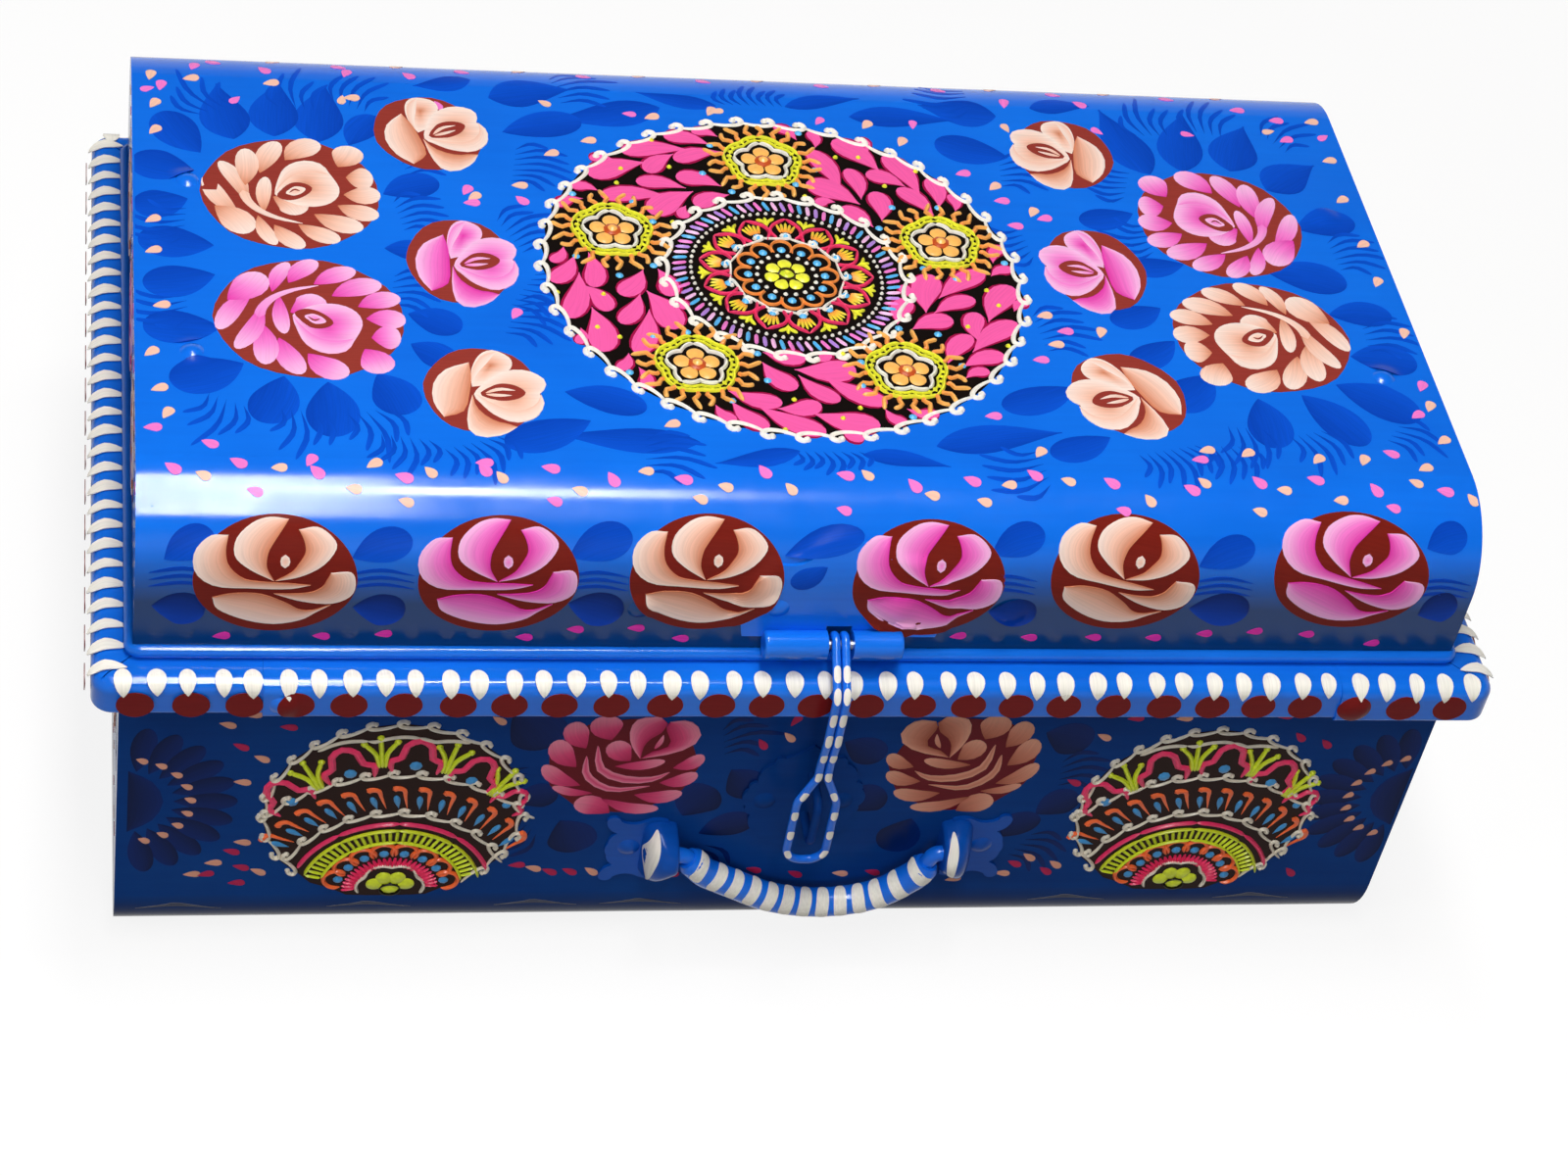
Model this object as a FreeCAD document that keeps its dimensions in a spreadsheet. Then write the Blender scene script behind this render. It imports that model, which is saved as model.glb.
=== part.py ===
import FreeCAD, Part
import Sketcher
import math
import os

# A small painted trunk of thin folded sheet steel. Millimetres, +X right, +Y back, +Z up.
# The origin is the centre of the flat bottom, on the surface that the trunk stands on.

os.makedirs("parts", exist_ok=True)
doc = FreeCAD.newDocument("painted_trunk")
vec = FreeCAD.Vector
AXIS_X = vec(1, 0, 0)
AXIS_Y = vec(0, 1, 0)
AXIS_Z = vec(0, 0, 1)

# Driving dimensions: alias and value
DIMENSIONS = [
    # box
    ("trunk_width", 406.4),
    ("trunk_depth", 245.6),
    ("side_overhang", 9.1),
    ("front_overhang", 11.3),
    ("body_height", 112.6),
    ("bend_radius", 25.4),
    ("metal", 0.6),
    ("seam_gap", 0.05),
    ("end_flange", 8.0),
    # rim
    ("rim_height", 13.0),
    ("rim_edge", 4.0),
    ("rim_foot", 1.4),
    ("rim_corner", 6.0),
    ("lap_place", 155.5),
    ("lap_tongue", 12.0),
    ("mitre_width", 0.4),
    ("lip_height", 6.0),
    ("lip_play", 1.5),
    # lid
    ("lid_side_inset", 3.4),
    ("lid_front_inset", 1.5),
    ("lid_height", 50.9),
    ("lid_rest_gap", 0.1),
    ("lid_flange", 22.0),
    ("bead_radius", 2.0),
    ("bead_offset", 0.5),
    ("bead_corner", 2.6),
    ("bead_wire", 1.2),
    # rivets
    ("rivet_shank", 1.4),
    ("rivet_play", 0.05),
    ("rivet_head", 3.3),
    ("rivet_rise", 1.2),
    ("rivet_tail", 2.3),
    ("tail_rise", 0.8),
    ("lid_rivet_edge", 15.7),
    ("lid_rivet_span", 76.0),
    ("lid_rivet_back", -4.0),
    ("front_rivet_place", 53.0),
    ("front_rivet_height", 17.0),
    ("lap_rivet_inset", 5.0),
    ("lap_rivet_height", 5.6),
    # stiffener strap
    ("strap_overhang", 9.0),
    ("strap_height", 11.0),
    ("strap_metal", 1.0),
    # hinges
    ("hinge_place", 105.0),
    ("hinge_width", 36.0),
    ("hinge_metal", 0.9),
    ("hinge_pin", 1.2),
    ("pin_play", 0.05),
    ("hinge_gap", 0.35),
    ("knuckle_gap", 0.3),
    ("hinge_rivet_head", 2.2),
    ("hinge_rivet_place", 11.0),
    ("hinge_leaf_height", 22.0),
    ("hinge_lid_rivet", 15.0),
    ("hinge_base_rivet", 4.8),
    ("hinge_leaf_rise", 35.0),
    ("hinge_bend", 3.0),
    ("hinge_notch", 1.4),
    # hasp
    ("hasp_place", 2.8),
    ("hasp_metal", 1.0),
    ("hasp_plate_shift", 2.2),
    ("hasp_plate_width", 57.0),
    ("hasp_plate_height", 32.5),
    ("hasp_barrel", 4.2),
    ("hasp_half_length", 20.0),
    ("hasp_pin", 1.4),
    ("hasp_pin_height", 7.6),
    ("hasp_rivet_place", 17.0),
    ("hasp_rivet_height", 18.7),
    ("link_place", 4.6),
    ("link_gap", 7.4),
    ("link_wire", 1.25),
    ("link_leg_place", 1.4),
    ("link_reach", 14.7),
    ("link_length", 77.0),
    ("eye_width", 11.7),
    ("eye_length", 35.7),
    # lock
    ("lock_place", 5.2),
    ("lock_height", 68.6),
    ("lock_plate_width", 37.0),
    ("lock_plate_height", 45.0),
    ("lock_metal", 1.0),
    ("lock_rivet_place", 11.7),
    ("lock_rivet_drop", 1.1),
    ("staple_place", 6.3),
    ("staple_wire", 1.35),
    ("staple_reach", 13.0),
    ("staple_height", 17.6),
    ("staple_bend", 3.4),
    ("staple_rise", 1.6),
    # handle
    ("handle_place", 9.4),
    ("handle_height", 49.5),
    ("handle_half_span", 40.3),
    ("handle_drop", 24.0),
    ("handle_wire", 2.4),
    ("handle_grip", 4.5),
    ("knuckle_radius", 6.4),
    ("knuckle_length", 10.0),
    ("knuckle_bore", 7.0),
    ("ear_width", 21.4),
    ("ear_height", 27.0),
    ("ear_metal", 1.0),
    ("ear_drop", 3.5),
    ("ear_rivet_place", 13.7),
    ("ear_rivet_drop", 2.5),
    # one overrun for every cut
    ("overrun", 5.0),
]

# Places worked out from the driving dimensions
PLACES = [
    ("body_half", "Dims.trunk_width / 2 - Dims.side_overhang"),
    ("body_width", "Dims.trunk_width - 2 * Dims.side_overhang"),
    ("depth_half", "Dims.trunk_depth / 2 - Dims.front_overhang"),
    ("ledge", "Dims.body_height + Dims.rim_height"),
    ("wall_top", "Dims.body_height + Dims.rim_height - Dims.metal - Dims.seam_gap"),
    ("inner_half", "Dims.trunk_depth / 2 - Dims.front_overhang - Dims.metal - Dims.seam_gap"),
    ("inner_bottom", "Dims.metal + Dims.seam_gap"),
    ("inner_bend", "Dims.bend_radius - Dims.metal - Dims.seam_gap"),
    ("lid_half", "body_half - Dims.lid_side_inset"),
    ("lid_width", "2 * body_half - 2 * Dims.lid_side_inset"),
    ("lid_depth_half", "depth_half - Dims.lid_front_inset"),
    ("lid_inner_half", "depth_half - Dims.lid_front_inset - Dims.metal - Dims.seam_gap"),
    ("bead_height", "ledge + Dims.lid_rest_gap + Dims.bead_radius"),
    ("lid_bottom", "bead_height + Dims.bead_radius + Dims.seam_gap"),
    ("lid_top", "ledge + Dims.lid_rest_gap + Dims.lid_height"),
    ("lid_inner_top", "lid_top - Dims.metal - Dims.seam_gap"),
    ("lip_half_width", "lid_half - Dims.metal - Dims.lip_play"),
    ("lip_half_depth", "lid_depth_half - Dims.metal - Dims.lip_play"),
]

dims = doc.addObject("Spreadsheet::Sheet", "Dims")
for row, (alias, value) in enumerate(DIMENSIONS, start=1):
    dims.set("A%d" % row, alias)
    dims.set("B%d" % row, str(value))
    dims.setAlias("B%d" % row, alias)
places = doc.addObject("Spreadsheet::Sheet", "Places")
for row, (alias, formula) in enumerate(PLACES, start=1):
    places.set("A%d" % row, alias)
    places.set("B%d" % row, "=" + formula)
    places.setAlias("B%d" % row, alias)
doc.recompute()


def dim(alias):
    """A driving dimension as a number."""
    return float(dims.get(alias))


def place(alias):
    """A worked-out place as a number."""
    return float(places.get(alias))


# Helpers for sketches and features


def origin_plane(body, role):
    return [f for f in body.Origin.OriginFeatures if f.Role == role][0]


def new_sketch(body, name, role, offset=None):
    sketch = body.newObject("Sketcher::SketchObject", name)
    sketch.AttachmentSupport = [(origin_plane(body, role), "")]
    sketch.MapMode = "FlatFace"
    if offset:
        sketch.setExpression(".AttachmentOffset.Base.z", offset)
    sketch.Visibility = False
    return sketch


def bind(sketch, kind, geometry, point, expression):
    """Hold one coordinate of a point at an expression."""
    if expression is None:
        sketch.addConstraint(Sketcher.Constraint(kind, -1, 1, geometry, point, 0.0))
        return
    here = sketch.getPoint(geometry, point)
    now = here.x if kind == "DistanceX" else here.y
    number = sketch.addConstraint(Sketcher.Constraint(kind, -1, 1, geometry, point, now))
    sketch.setExpression("Constraints[%d]" % number, expression)


def add_rectangle(sketch, low_x, low_y, high_x, high_y, start):
    """A rectangle held by expressions; start gives rough corners to begin from."""
    ax, ay, bx, by = start
    corners = [vec(ax, ay, 0), vec(bx, ay, 0), vec(bx, by, 0), vec(ax, by, 0)]
    first = sketch.GeometryCount
    for i in range(4):
        sketch.addGeometry(Part.LineSegment(corners[i], corners[(i + 1) % 4]))
    for i in range(4):
        here = first + i
        after = first + (i + 1) % 4
        sketch.addConstraint(Sketcher.Constraint("Coincident", here, 2, after, 1))
        sketch.addConstraint(Sketcher.Constraint("Horizontal" if i % 2 == 0 else "Vertical", here))
    bind(sketch, "DistanceX", first, 1, low_x)
    bind(sketch, "DistanceY", first, 1, low_y)
    bind(sketch, "DistanceX", first + 2, 1, high_x)
    bind(sketch, "DistanceY", first + 2, 1, high_y)


def edges_where(shape, test):
    return ["Edge%d" % (i + 1) for i, e in enumerate(shape.Edges) if test(e.BoundBox)]


def faces_where(shape, test):
    return ["Face%d" % (i + 1) for i, f in enumerate(shape.Faces) if test(f.BoundBox)]


def near(a, b):
    return abs(a - b) < dim("seam_gap") / 5


def add_pad(body, name, sketch, length, both_ways=False, backward=False):
    pad = body.newObject("PartDesign::Pad", name)
    pad.Profile = sketch
    pad.setExpression("Length", length)
    pad.Midplane = both_ways
    pad.Reversed = backward
    doc.recompute()
    return pad


def add_fillet(body, name, base, edges, radius):
    fillet = body.newObject("PartDesign::Fillet", name)
    fillet.Base = (base, edges)
    fillet.setExpression("Radius", radius)
    doc.recompute()
    return fillet


def add_thickness(body, name, base, faces, value):
    shell = body.newObject("PartDesign::Thickness", name)
    shell.Base = (base, faces)
    shell.setExpression("Value", value)
    shell.Reversed = True
    doc.recompute()
    return shell


def new_body(name):
    body = doc.addObject("PartDesign::Body", name)
    body.Label = name
    return body


def new_feature(name, shape):
    feature = doc.addObject("Part::Feature", name)
    feature.Label = name
    feature.Shape = shape
    feature.Placement = FreeCAD.Placement()
    return feature


# Helpers for wire and strip


def bent_path(points, radii):
    """Straight runs joined by tangent arcs, one radius for each inner point."""
    edges = []
    start = points[0]
    for i in range(1, len(points) - 1):
        corner = points[i]
        back = (points[i - 1] - corner).normalize()
        ahead = (points[i + 1] - corner).normalize()
        half_turn = (math.pi - back.getAngle(ahead)) / 2
        tangent = radii[i - 1] * math.tan(half_turn)
        inward = (back + ahead).normalize()
        middle = corner + inward * (radii[i - 1] / math.cos(half_turn) - radii[i - 1])
        arc_start = corner + back * tangent
        arc_end = corner + ahead * tangent
        edges.append(Part.LineSegment(start, arc_start).toShape())
        edges.append(Part.Arc(arc_start, middle, arc_end).toShape())
        start = arc_end
    edges.append(Part.LineSegment(start, points[-1]).toShape())
    return Part.Wire(edges)


def swept_rod(path, radius):
    """A round rod along a path."""
    first = path.Edges[0]
    begin = first.valueAt(first.FirstParameter)
    direction = first.tangentAt(first.FirstParameter)
    ring = Part.Wire(Part.Circle(begin, direction, radius).toShape())
    return path.makePipeShell([ring], True, True)


def strip_section(points, radius, thickness):
    """The section of a bent strip in the YZ plane, from its middle line."""
    offsets = []
    for side in (-1, 1):
        shifted = []
        for i, point in enumerate(points):
            before = (point - points[i - 1]).normalize() if i else None
            after = (points[i + 1] - point).normalize() if i < len(points) - 1 else None
            normals = [AXIS_X.cross(d) for d in (before, after) if d]
            total = normals[0] + normals[-1]
            total.normalize()
            stretch = 1 / total.dot(normals[0])
            shifted.append(point + total * (side * stretch * thickness / 2))
        radii = []
        for i in range(1, len(points) - 1):
            before = points[i] - points[i - 1]
            after = points[i + 1] - points[i]
            turn = 1 if before.cross(after).x > 0 else -1
            radii.append(radius - side * turn * thickness / 2)
        offsets.append(bent_path(shifted, radii))
    low, high = offsets
    start_cap = Part.LineSegment(low.OrderedVertexes[0].Point, high.OrderedVertexes[0].Point)
    end_cap = Part.LineSegment(low.OrderedVertexes[-1].Point, high.OrderedVertexes[-1].Point)
    caps = [start_cap.toShape(), end_cap.toShape()]
    return Part.Face(Part.Wire(Part.__sortEdges__(low.Edges + high.Edges + caps)))


# Rivets: a low domed head, a shank and a flattened tail


def rivet(seat, direction, grip, head=None):
    """One rivet; seat is the centre of the head's underside, direction points outwards."""
    head_radius = head or dim("rivet_head")
    rise = dim("rivet_rise") * head_radius / dim("rivet_head")
    ball = (head_radius ** 2 + rise ** 2) / (2 * rise)
    dome = Part.makeSphere(ball, vec(0, 0, rise - ball))
    dome = dome.common(Part.makeCylinder(head_radius, rise))
    shank = Part.makeCylinder(dim("rivet_shank"), grip + rise / 2, vec(0, 0, -grip))
    tail_base = vec(0, 0, -grip - dim("tail_rise"))
    tail = Part.makeCylinder(dim("rivet_tail"), dim("tail_rise"), tail_base)
    whole = dome.fuse(shank).fuse(tail).removeSplitter()
    turn = FreeCAD.Rotation(AXIS_Z, direction)
    whole.Placement = FreeCAD.Placement(seat, turn)
    return whole


def rivet_hole(seat, direction, depth):
    """The hole for a rivet shank, drilled both ways from its seat."""
    radius = dim("rivet_shank") + dim("rivet_play")
    return Part.makeCylinder(radius, 2 * depth, seat - direction * depth, direction)


def drill(name, base, holes):
    """A body with its rivet holes cut, as one cut feature with its own tool."""
    tool = new_feature(name + "_holes", Part.makeCompound(holes))
    cut = doc.addObject("Part::Cut", name + "_drilled")
    cut.Base = base
    cut.Tool = tool
    doc.recompute()
    return cut


# Where the rivets go

front = -AXIS_Y
metal = dim("metal")
body_front = -place("depth_half")
lid_front = -place("lid_depth_half")
lid_back = place("lid_depth_half")
bead_height = place("bead_height")

lid_end_spots = []
for side in (-1, 1):
    for end in (-1, 1):
        x = side * (place("lid_half") - dim("lid_rivet_edge"))
        y = dim("lid_rivet_back") + end * dim("lid_rivet_span") / 2
        lid_end_spots.append(vec(x, y, place("lid_top")))

front_rivet_z = bead_height + dim("front_rivet_height")
lid_front_spots = [vec(side * dim("front_rivet_place"), lid_front, front_rivet_z) for side in (-1, 1)]

hasp_rivet_z = bead_height + dim("hasp_rivet_height")
hasp_front = lid_front - dim("seam_gap") - dim("hasp_metal")
hasp_spots = []
for side in (-1, 1):
    x = dim("hasp_place") + side * dim("hasp_rivet_place")
    hasp_spots.append(vec(x, hasp_front, hasp_rivet_z))

lock_front = body_front - dim("lock_metal")
lock_spots = []
for side in (-1, 1):
    x = dim("lock_place") + side * dim("lock_rivet_place")
    lock_spots.append(vec(x, lock_front, dim("lock_height") - dim("lock_rivet_drop")))

ear_front = body_front - dim("ear_metal")
ear_spots = []
for side in (-1, 1):
    x = dim("handle_place") + side * (dim("handle_half_span") + dim("ear_rivet_place"))
    ear_spots.append(vec(x, ear_front, dim("handle_height") - dim("ear_rivet_drop")))

staple_middle = dim("lock_height") + dim("staple_rise")
staple_arms = [staple_middle + side * dim("staple_height") / 2 for side in (-1, 1)]

hinge_lid_spots = []
hinge_base_spots = []
for centre in (-dim("hinge_place"), dim("hinge_place")):
    for side in (-1, 1):
        x = centre + side * dim("hinge_rivet_place")
        lid_seat = lid_back + dim("seam_gap") + dim("hinge_metal")
        hinge_lid_spots.append(vec(x, lid_seat, bead_height + dim("hinge_lid_rivet")))


# Body: one sheet for front, bottom and back, and two flanged end panels


def open_box(name, low_x, width, half_depth, low_z, high_z, bend, bent_end, open_ends, start):
    """A thin box bent from sheet: two long bends along X, open on the named sides."""
    body = new_body(name)
    sketch = new_sketch(body, name + "_section", "YZ_Plane", low_x)
    add_rectangle(sketch, "-" + half_depth, low_z, half_depth, high_z, start)
    pad = add_pad(body, name + "_block", sketch, width)
    box = pad.Shape.BoundBox
    level = box.ZMin if bent_end == "bottom" else box.ZMax
    long_edges = edges_where(pad.Shape, lambda b: near(b.ZMin, level) and near(b.ZMax, level)
                             and near(b.XLength, box.XLength))
    fillet = add_fillet(body, name + "_bends", pad, long_edges, bend)
    sides = {
        "left": lambda b: near(b.XMax, box.XMin),
        "right": lambda b: near(b.XMin, box.XMax),
        "top": lambda b: near(b.ZMin, box.ZMax),
        "bottom": lambda b: near(b.ZMax, box.ZMin),
    }
    chosen = []
    for side in open_ends:
        chosen += faces_where(fillet.Shape, sides[side])
    add_thickness(body, name + "_sheet", fillet, chosen, "Dims.metal")
    return body


half = place("depth_half")
rough = (-half, 0, half, place("wall_top"))
body_wrap = open_box("body_wrap", "-Places.body_half", "Places.body_width",
                     "Places.depth_half", None, "Places.wall_top",
                     "Dims.bend_radius", "bottom", ("left", "right", "top"), rough)
end_panels = {}
for side, low_x in (("left", "-Places.body_half"), ("right", "Places.body_half - Dims.end_flange")):
    inward = "right" if side == "left" else "left"
    end_panels[side] = open_box(side + "_end_panel", low_x, "Dims.end_flange",
                                "Places.inner_half", "Places.inner_bottom", "Places.wall_top",
                                "Places.inner_bend", "bottom", (inward, "top"), rough)

lid_rough = (-half, place("lid_bottom"), half, place("lid_top"))
lid_wrap = open_box("lid_wrap", "-Places.lid_half", "Places.lid_width",
                    "Places.lid_depth_half", "Places.lid_bottom", "Places.lid_top",
                    "Dims.bend_radius", "top", ("left", "right", "bottom"), lid_rough)
lid_ends = {}
for side, low_x in (("left", "-Places.lid_half"), ("right", "Places.lid_half - Dims.lid_flange")):
    inward = "right" if side == "left" else "left"
    lid_ends[side] = open_box("lid_" + side + "_end", low_x, "Dims.lid_flange",
                              "Places.lid_inner_half", "Places.lid_bottom", "Places.lid_inner_top",
                              "Places.inner_bend", "top", (inward, "bottom"), lid_rough)


# Rim: a channel that hangs out over the body walls, with a ledge and an inner lip.
# Each strip laps over the next one, so the outer face of each steps in by one sheet.


def ring_pad(body, name, outer_x, outer_y, inner_x, inner_y, bottom, height, start):
    sketch = new_sketch(body, name + "_plan", "XY_Plane", bottom)
    ox, oy, ix, iy = start
    add_rectangle(sketch, "-(" + outer_x + ")", "-(" + outer_y + ")", outer_x, outer_y,
                  (-ox, -oy, ox, oy))
    add_rectangle(sketch, "-(" + inner_x + ")", "-(" + inner_y + ")", inner_x, inner_y,
                  (-ix, -iy, ix, iy))
    return add_pad(body, name, sketch, height)


def rim_strip(name, level):
    """The whole ring of the rim at one lap level, before it is cut to its own stretch."""
    step = "%d * (Dims.metal + Dims.seam_gap)" % level
    body = new_body(name)
    outer_x = "Dims.trunk_width / 2 - " + step
    outer_y = "Dims.trunk_depth / 2 - " + step
    wall_x = "Places.body_half + Dims.seam_gap"
    wall_y = "Places.depth_half + Dims.seam_gap"
    start = (dim("trunk_width") / 2, dim("trunk_depth") / 2, place("body_half"), half)
    ring = ring_pad(body, name + "_ring", outer_x, outer_y, wall_x, wall_y,
                    "Dims.body_height + " + step, "Dims.rim_height - " + step, start)
    box = ring.Shape.BoundBox
    corners = edges_where(ring.Shape, lambda b: near(b.ZLength, box.ZLength)
                          and near(max(abs(b.XMin), abs(b.XMax)), box.XMax))
    rounded = add_fillet(body, name + "_corners", ring, corners, "Dims.rim_corner")
    reach_x = place("body_half") + dim("side_overhang") / 2
    reach_y = half + dim("front_overhang") / 2

    def outside(b):
        across = max(abs(b.XMin), abs(b.XMax)) > reach_x
        along = max(abs(b.YMin), abs(b.YMax)) > reach_y
        return across or along

    top = edges_where(rounded.Shape, lambda b: near(b.ZMin, box.ZMax) and outside(b))
    edged = add_fillet(body, name + "_edge", rounded, top, "Dims.rim_edge")
    low = edges_where(edged.Shape, lambda b: near(b.ZMax, box.ZMin) and outside(b))
    footed = add_fillet(body, name + "_foot", edged, low, "Dims.rim_foot")
    inner = faces_where(footed.Shape, lambda b: (near(b.XLength, 0) or near(b.YLength, 0))
                        and max(abs(b.XMin), abs(b.XMax)) < reach_x
                        and max(abs(b.YMin), abs(b.YMax)) < reach_y)
    add_thickness(body, name + "_channel", footed, inner, "Dims.metal")
    lip_x = "Places.lip_half_width"
    lip_y = "Places.lip_half_depth"
    inside_x = lip_x + " - Dims.metal"
    inside_y = lip_y + " - Dims.metal"
    lip_start = (place("body_half"), half, place("lip_half_width") - metal, place("lip_half_depth") - metal)
    ring_pad(body, name + "_ledge", wall_x, wall_y, inside_x, inside_y,
             "Places.ledge - Dims.metal", "Dims.metal", lip_start)
    lip_start = (place("lip_half_width"), place("lip_half_depth"),
                 place("lip_half_width") - metal, place("lip_half_depth") - metal)
    ring_pad(body, name + "_lip", lip_x, lip_y, inside_x, inside_y,
             "Places.ledge - Dims.metal", "Dims.metal + Dims.lip_height", lip_start)
    return body


def trim_boxes(low_x, high_x):
    """Blocks that take away all of the ring outside a stretch of X."""
    reach = dim("trunk_width")
    deep = dim("trunk_depth") + 2 * dim("overrun")
    tall = dim("rim_height") + dim("lip_height") + 2 * dim("overrun")
    base = vec(0, -deep / 2, dim("body_height") - dim("overrun"))
    blocks = []
    if low_x is not None:
        blocks.append(Part.makeBox(reach, deep, tall, base + vec(low_x - reach, 0, 0)))
    if high_x is not None:
        blocks.append(Part.makeBox(reach, deep, tall, base + vec(high_x, 0, 0)))
    return blocks


def tongue_trim(low_x, high_x):
    """Takes the ledge and the lip off a tongue that runs under the next strip."""
    deep = dim("trunk_depth") + 2 * dim("overrun")
    tall = dim("rim_height") + dim("lip_height")
    bottom = place("ledge") - dim("rim_edge") - dim("seam_gap")
    return Part.makeBox(high_x - low_x, deep, tall, vec(low_x, -deep / 2, bottom))


def mitre_slit(side_x, side_y):
    """The folded slit across the ledge at one corner."""
    inner = vec(side_x * place("lip_half_width"), side_y * place("lip_half_depth"), 0)
    reach_x = dim("trunk_width") / 2 - dim("rim_edge")
    reach_y = dim("trunk_depth") / 2 - dim("rim_edge")
    outer = vec(side_x * reach_x, side_y * reach_y, 0)
    run = outer - inner
    width = dim("mitre_width")
    slit = Part.makeBox(run.Length, width, 2 * metal, vec(0, -width / 2, -metal * 3 / 2))
    angle = math.degrees(math.atan2(run.y, run.x))
    slit.Placement = FreeCAD.Placement(inner + vec(0, 0, place("ledge")), FreeCAD.Rotation(AXIS_Z, angle))
    return slit


lap = dim("lap_place")
tongue = dim("lap_tongue")
lap_gap = dim("seam_gap")
rim_outer = dim("trunk_depth") / 2
rim_step = metal + dim("seam_gap")
lap_rivet_z = dim("body_height") + dim("lap_rivet_height")

# seats of the four lap rivets: over the front strip at the left laps, over the right strip at the right laps
rim_spots = []
for side_y in (-1, 1):
    for place_x, seat_y in ((-lap, rim_outer - rim_step), (lap, rim_outer)):
        seat = vec(place_x + dim("lap_rivet_inset"), side_y * seat_y, lap_rivet_z)
        rim_spots.append((seat, side_y))

# the rim rivets of the hinge leaves
hinge_base_y = rim_outer - rim_step + dim("seam_gap") + dim("hinge_metal")
for spot in hinge_lid_spots:
    hinge_base_spots.append(vec(spot.x, hinge_base_y, dim("body_height") + dim("hinge_base_rivet")))

rim_holes = []
for spot, side_y in rim_spots:
    rim_holes.append(rivet_hole(spot, AXIS_Y * side_y, dim("overrun")))
for spot in hinge_base_spots:
    rim_holes.append(rivet_hole(spot, AXIS_Y, dim("overrun")))

corner_slits = {}
for side, sign in (("left", -1), ("right", 1)):
    corner_slits[side] = [mitre_slit(sign, side_y) for side_y in (-1, 1)]

half_cut = Part.makeBox(2 * dim("trunk_width"), dim("trunk_depth"), dim("trunk_width"),
                        vec(-dim("trunk_width"), 0, 0))
front_half = half_cut
back_half = half_cut.copy()
back_half.Placement = FreeCAD.Placement(vec(0, -dim("trunk_depth"), 0), FreeCAD.Rotation())

middle_trim = trim_boxes(-lap, lap + tongue) + [tongue_trim(lap - lap_gap, lap + 2 * tongue)]
rim_parts = {
    "rim_right": (0, trim_boxes(lap, None) + corner_slits["right"]),
    "rim_front": (1, middle_trim + [front_half]),
    "rim_back": (1, middle_trim + [back_half]),
    "rim_left": (2, trim_boxes(None, -lap + tongue) + corner_slits["left"]
                 + [tongue_trim(-lap - lap_gap, -lap + 2 * tongue)]),
}

finished = {}
for name, (level, cutters) in rim_parts.items():
    ring_body = rim_strip(name + "_ring_body", level)
    finished[name] = drill(name, ring_body, cutters + rim_holes)


def rim_tail_grip(level_over, level_under):
    """The stack that a lap rivet clamps."""
    return (level_under - level_over) * rim_step + metal


rim_rivets = [rivet(spot, AXIS_Y * side_y, rim_tail_grip(0, 1)) for spot, side_y in rim_spots]
finished["rim_rivets"] = new_feature("rim_rivets", Part.makeCompound(rim_rivets))


# Lid bead: a rolled tube round a wire, along the lower edge of the lid


def bead_ring(radius):
    """A round rod along a rectangle with rounded corners, in one piece."""
    corner = dim("bead_corner")
    reach_x = place("lid_half") + dim("bead_offset")
    reach_y = place("lid_depth_half") + dim("bead_offset")
    level = bead_height
    pieces = []
    for side in (-1, 1):
        run = 2 * (reach_x - corner)
        pieces.append(Part.makeCylinder(radius, run, vec(-run / 2, side * reach_y, level), AXIS_X))
        run = 2 * (reach_y - corner)
        pieces.append(Part.makeCylinder(radius, run, vec(side * reach_x, -run / 2, level), AXIS_Y))
    for number, (side_x, side_y) in enumerate(((1, 1), (-1, 1), (-1, -1), (1, -1))):
        centre = vec(side_x * (reach_x - corner), side_y * (reach_y - corner), level)
        bend = Part.makeTorus(corner, radius, vec(0, 0, 0), AXIS_Z, -180, 180, 90)
        bend.Placement = FreeCAD.Placement(centre, FreeCAD.Rotation(AXIS_Z, 90 * number))
        pieces.append(bend)
    return pieces[0].multiFuse(pieces[1:]).removeSplitter()


bore = bead_ring(dim("bead_wire") + dim("seam_gap"))
finished["lid_bead"] = new_feature("lid_bead", bead_ring(dim("bead_radius")).cut(bore))
finished["lid_bead_wire"] = new_feature("lid_bead_wire", bead_ring(dim("bead_wire")))


# Lid sheet, ends and their rivets

strap_z = (front_rivet_z + hasp_rivet_z) / 2
strap_y = lid_front + metal + dim("seam_gap")
strap_half = dim("front_rivet_place") + dim("strap_overhang")

lid_holes = [rivet_hole(spot, AXIS_Z, dim("overrun")) for spot in lid_end_spots]
lid_holes += [rivet_hole(spot, AXIS_Y, dim("overrun")) for spot in lid_front_spots + hasp_spots]
lid_holes += [rivet_hole(spot, AXIS_Y, dim("overrun")) for spot in hinge_lid_spots]
finished["lid_wrap"] = drill("lid_wrap", lid_wrap, lid_holes)
finished["lid_left_end"] = drill("lid_left_end", lid_ends["left"], lid_holes)
finished["lid_right_end"] = drill("lid_right_end", lid_ends["right"], lid_holes)

two_sheets = 2 * metal + dim("seam_gap")
strapped = metal + dim("seam_gap") + dim("strap_metal")
end_rivets = [rivet(spot, AXIS_Z, two_sheets) for spot in lid_end_spots]
finished["lid_end_rivets"] = new_feature("lid_end_rivets", Part.makeCompound(end_rivets))
front_rivets = [rivet(spot, front, strapped) for spot in lid_front_spots]
finished["lid_front_rivets"] = new_feature("lid_front_rivets", Part.makeCompound(front_rivets))

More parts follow.
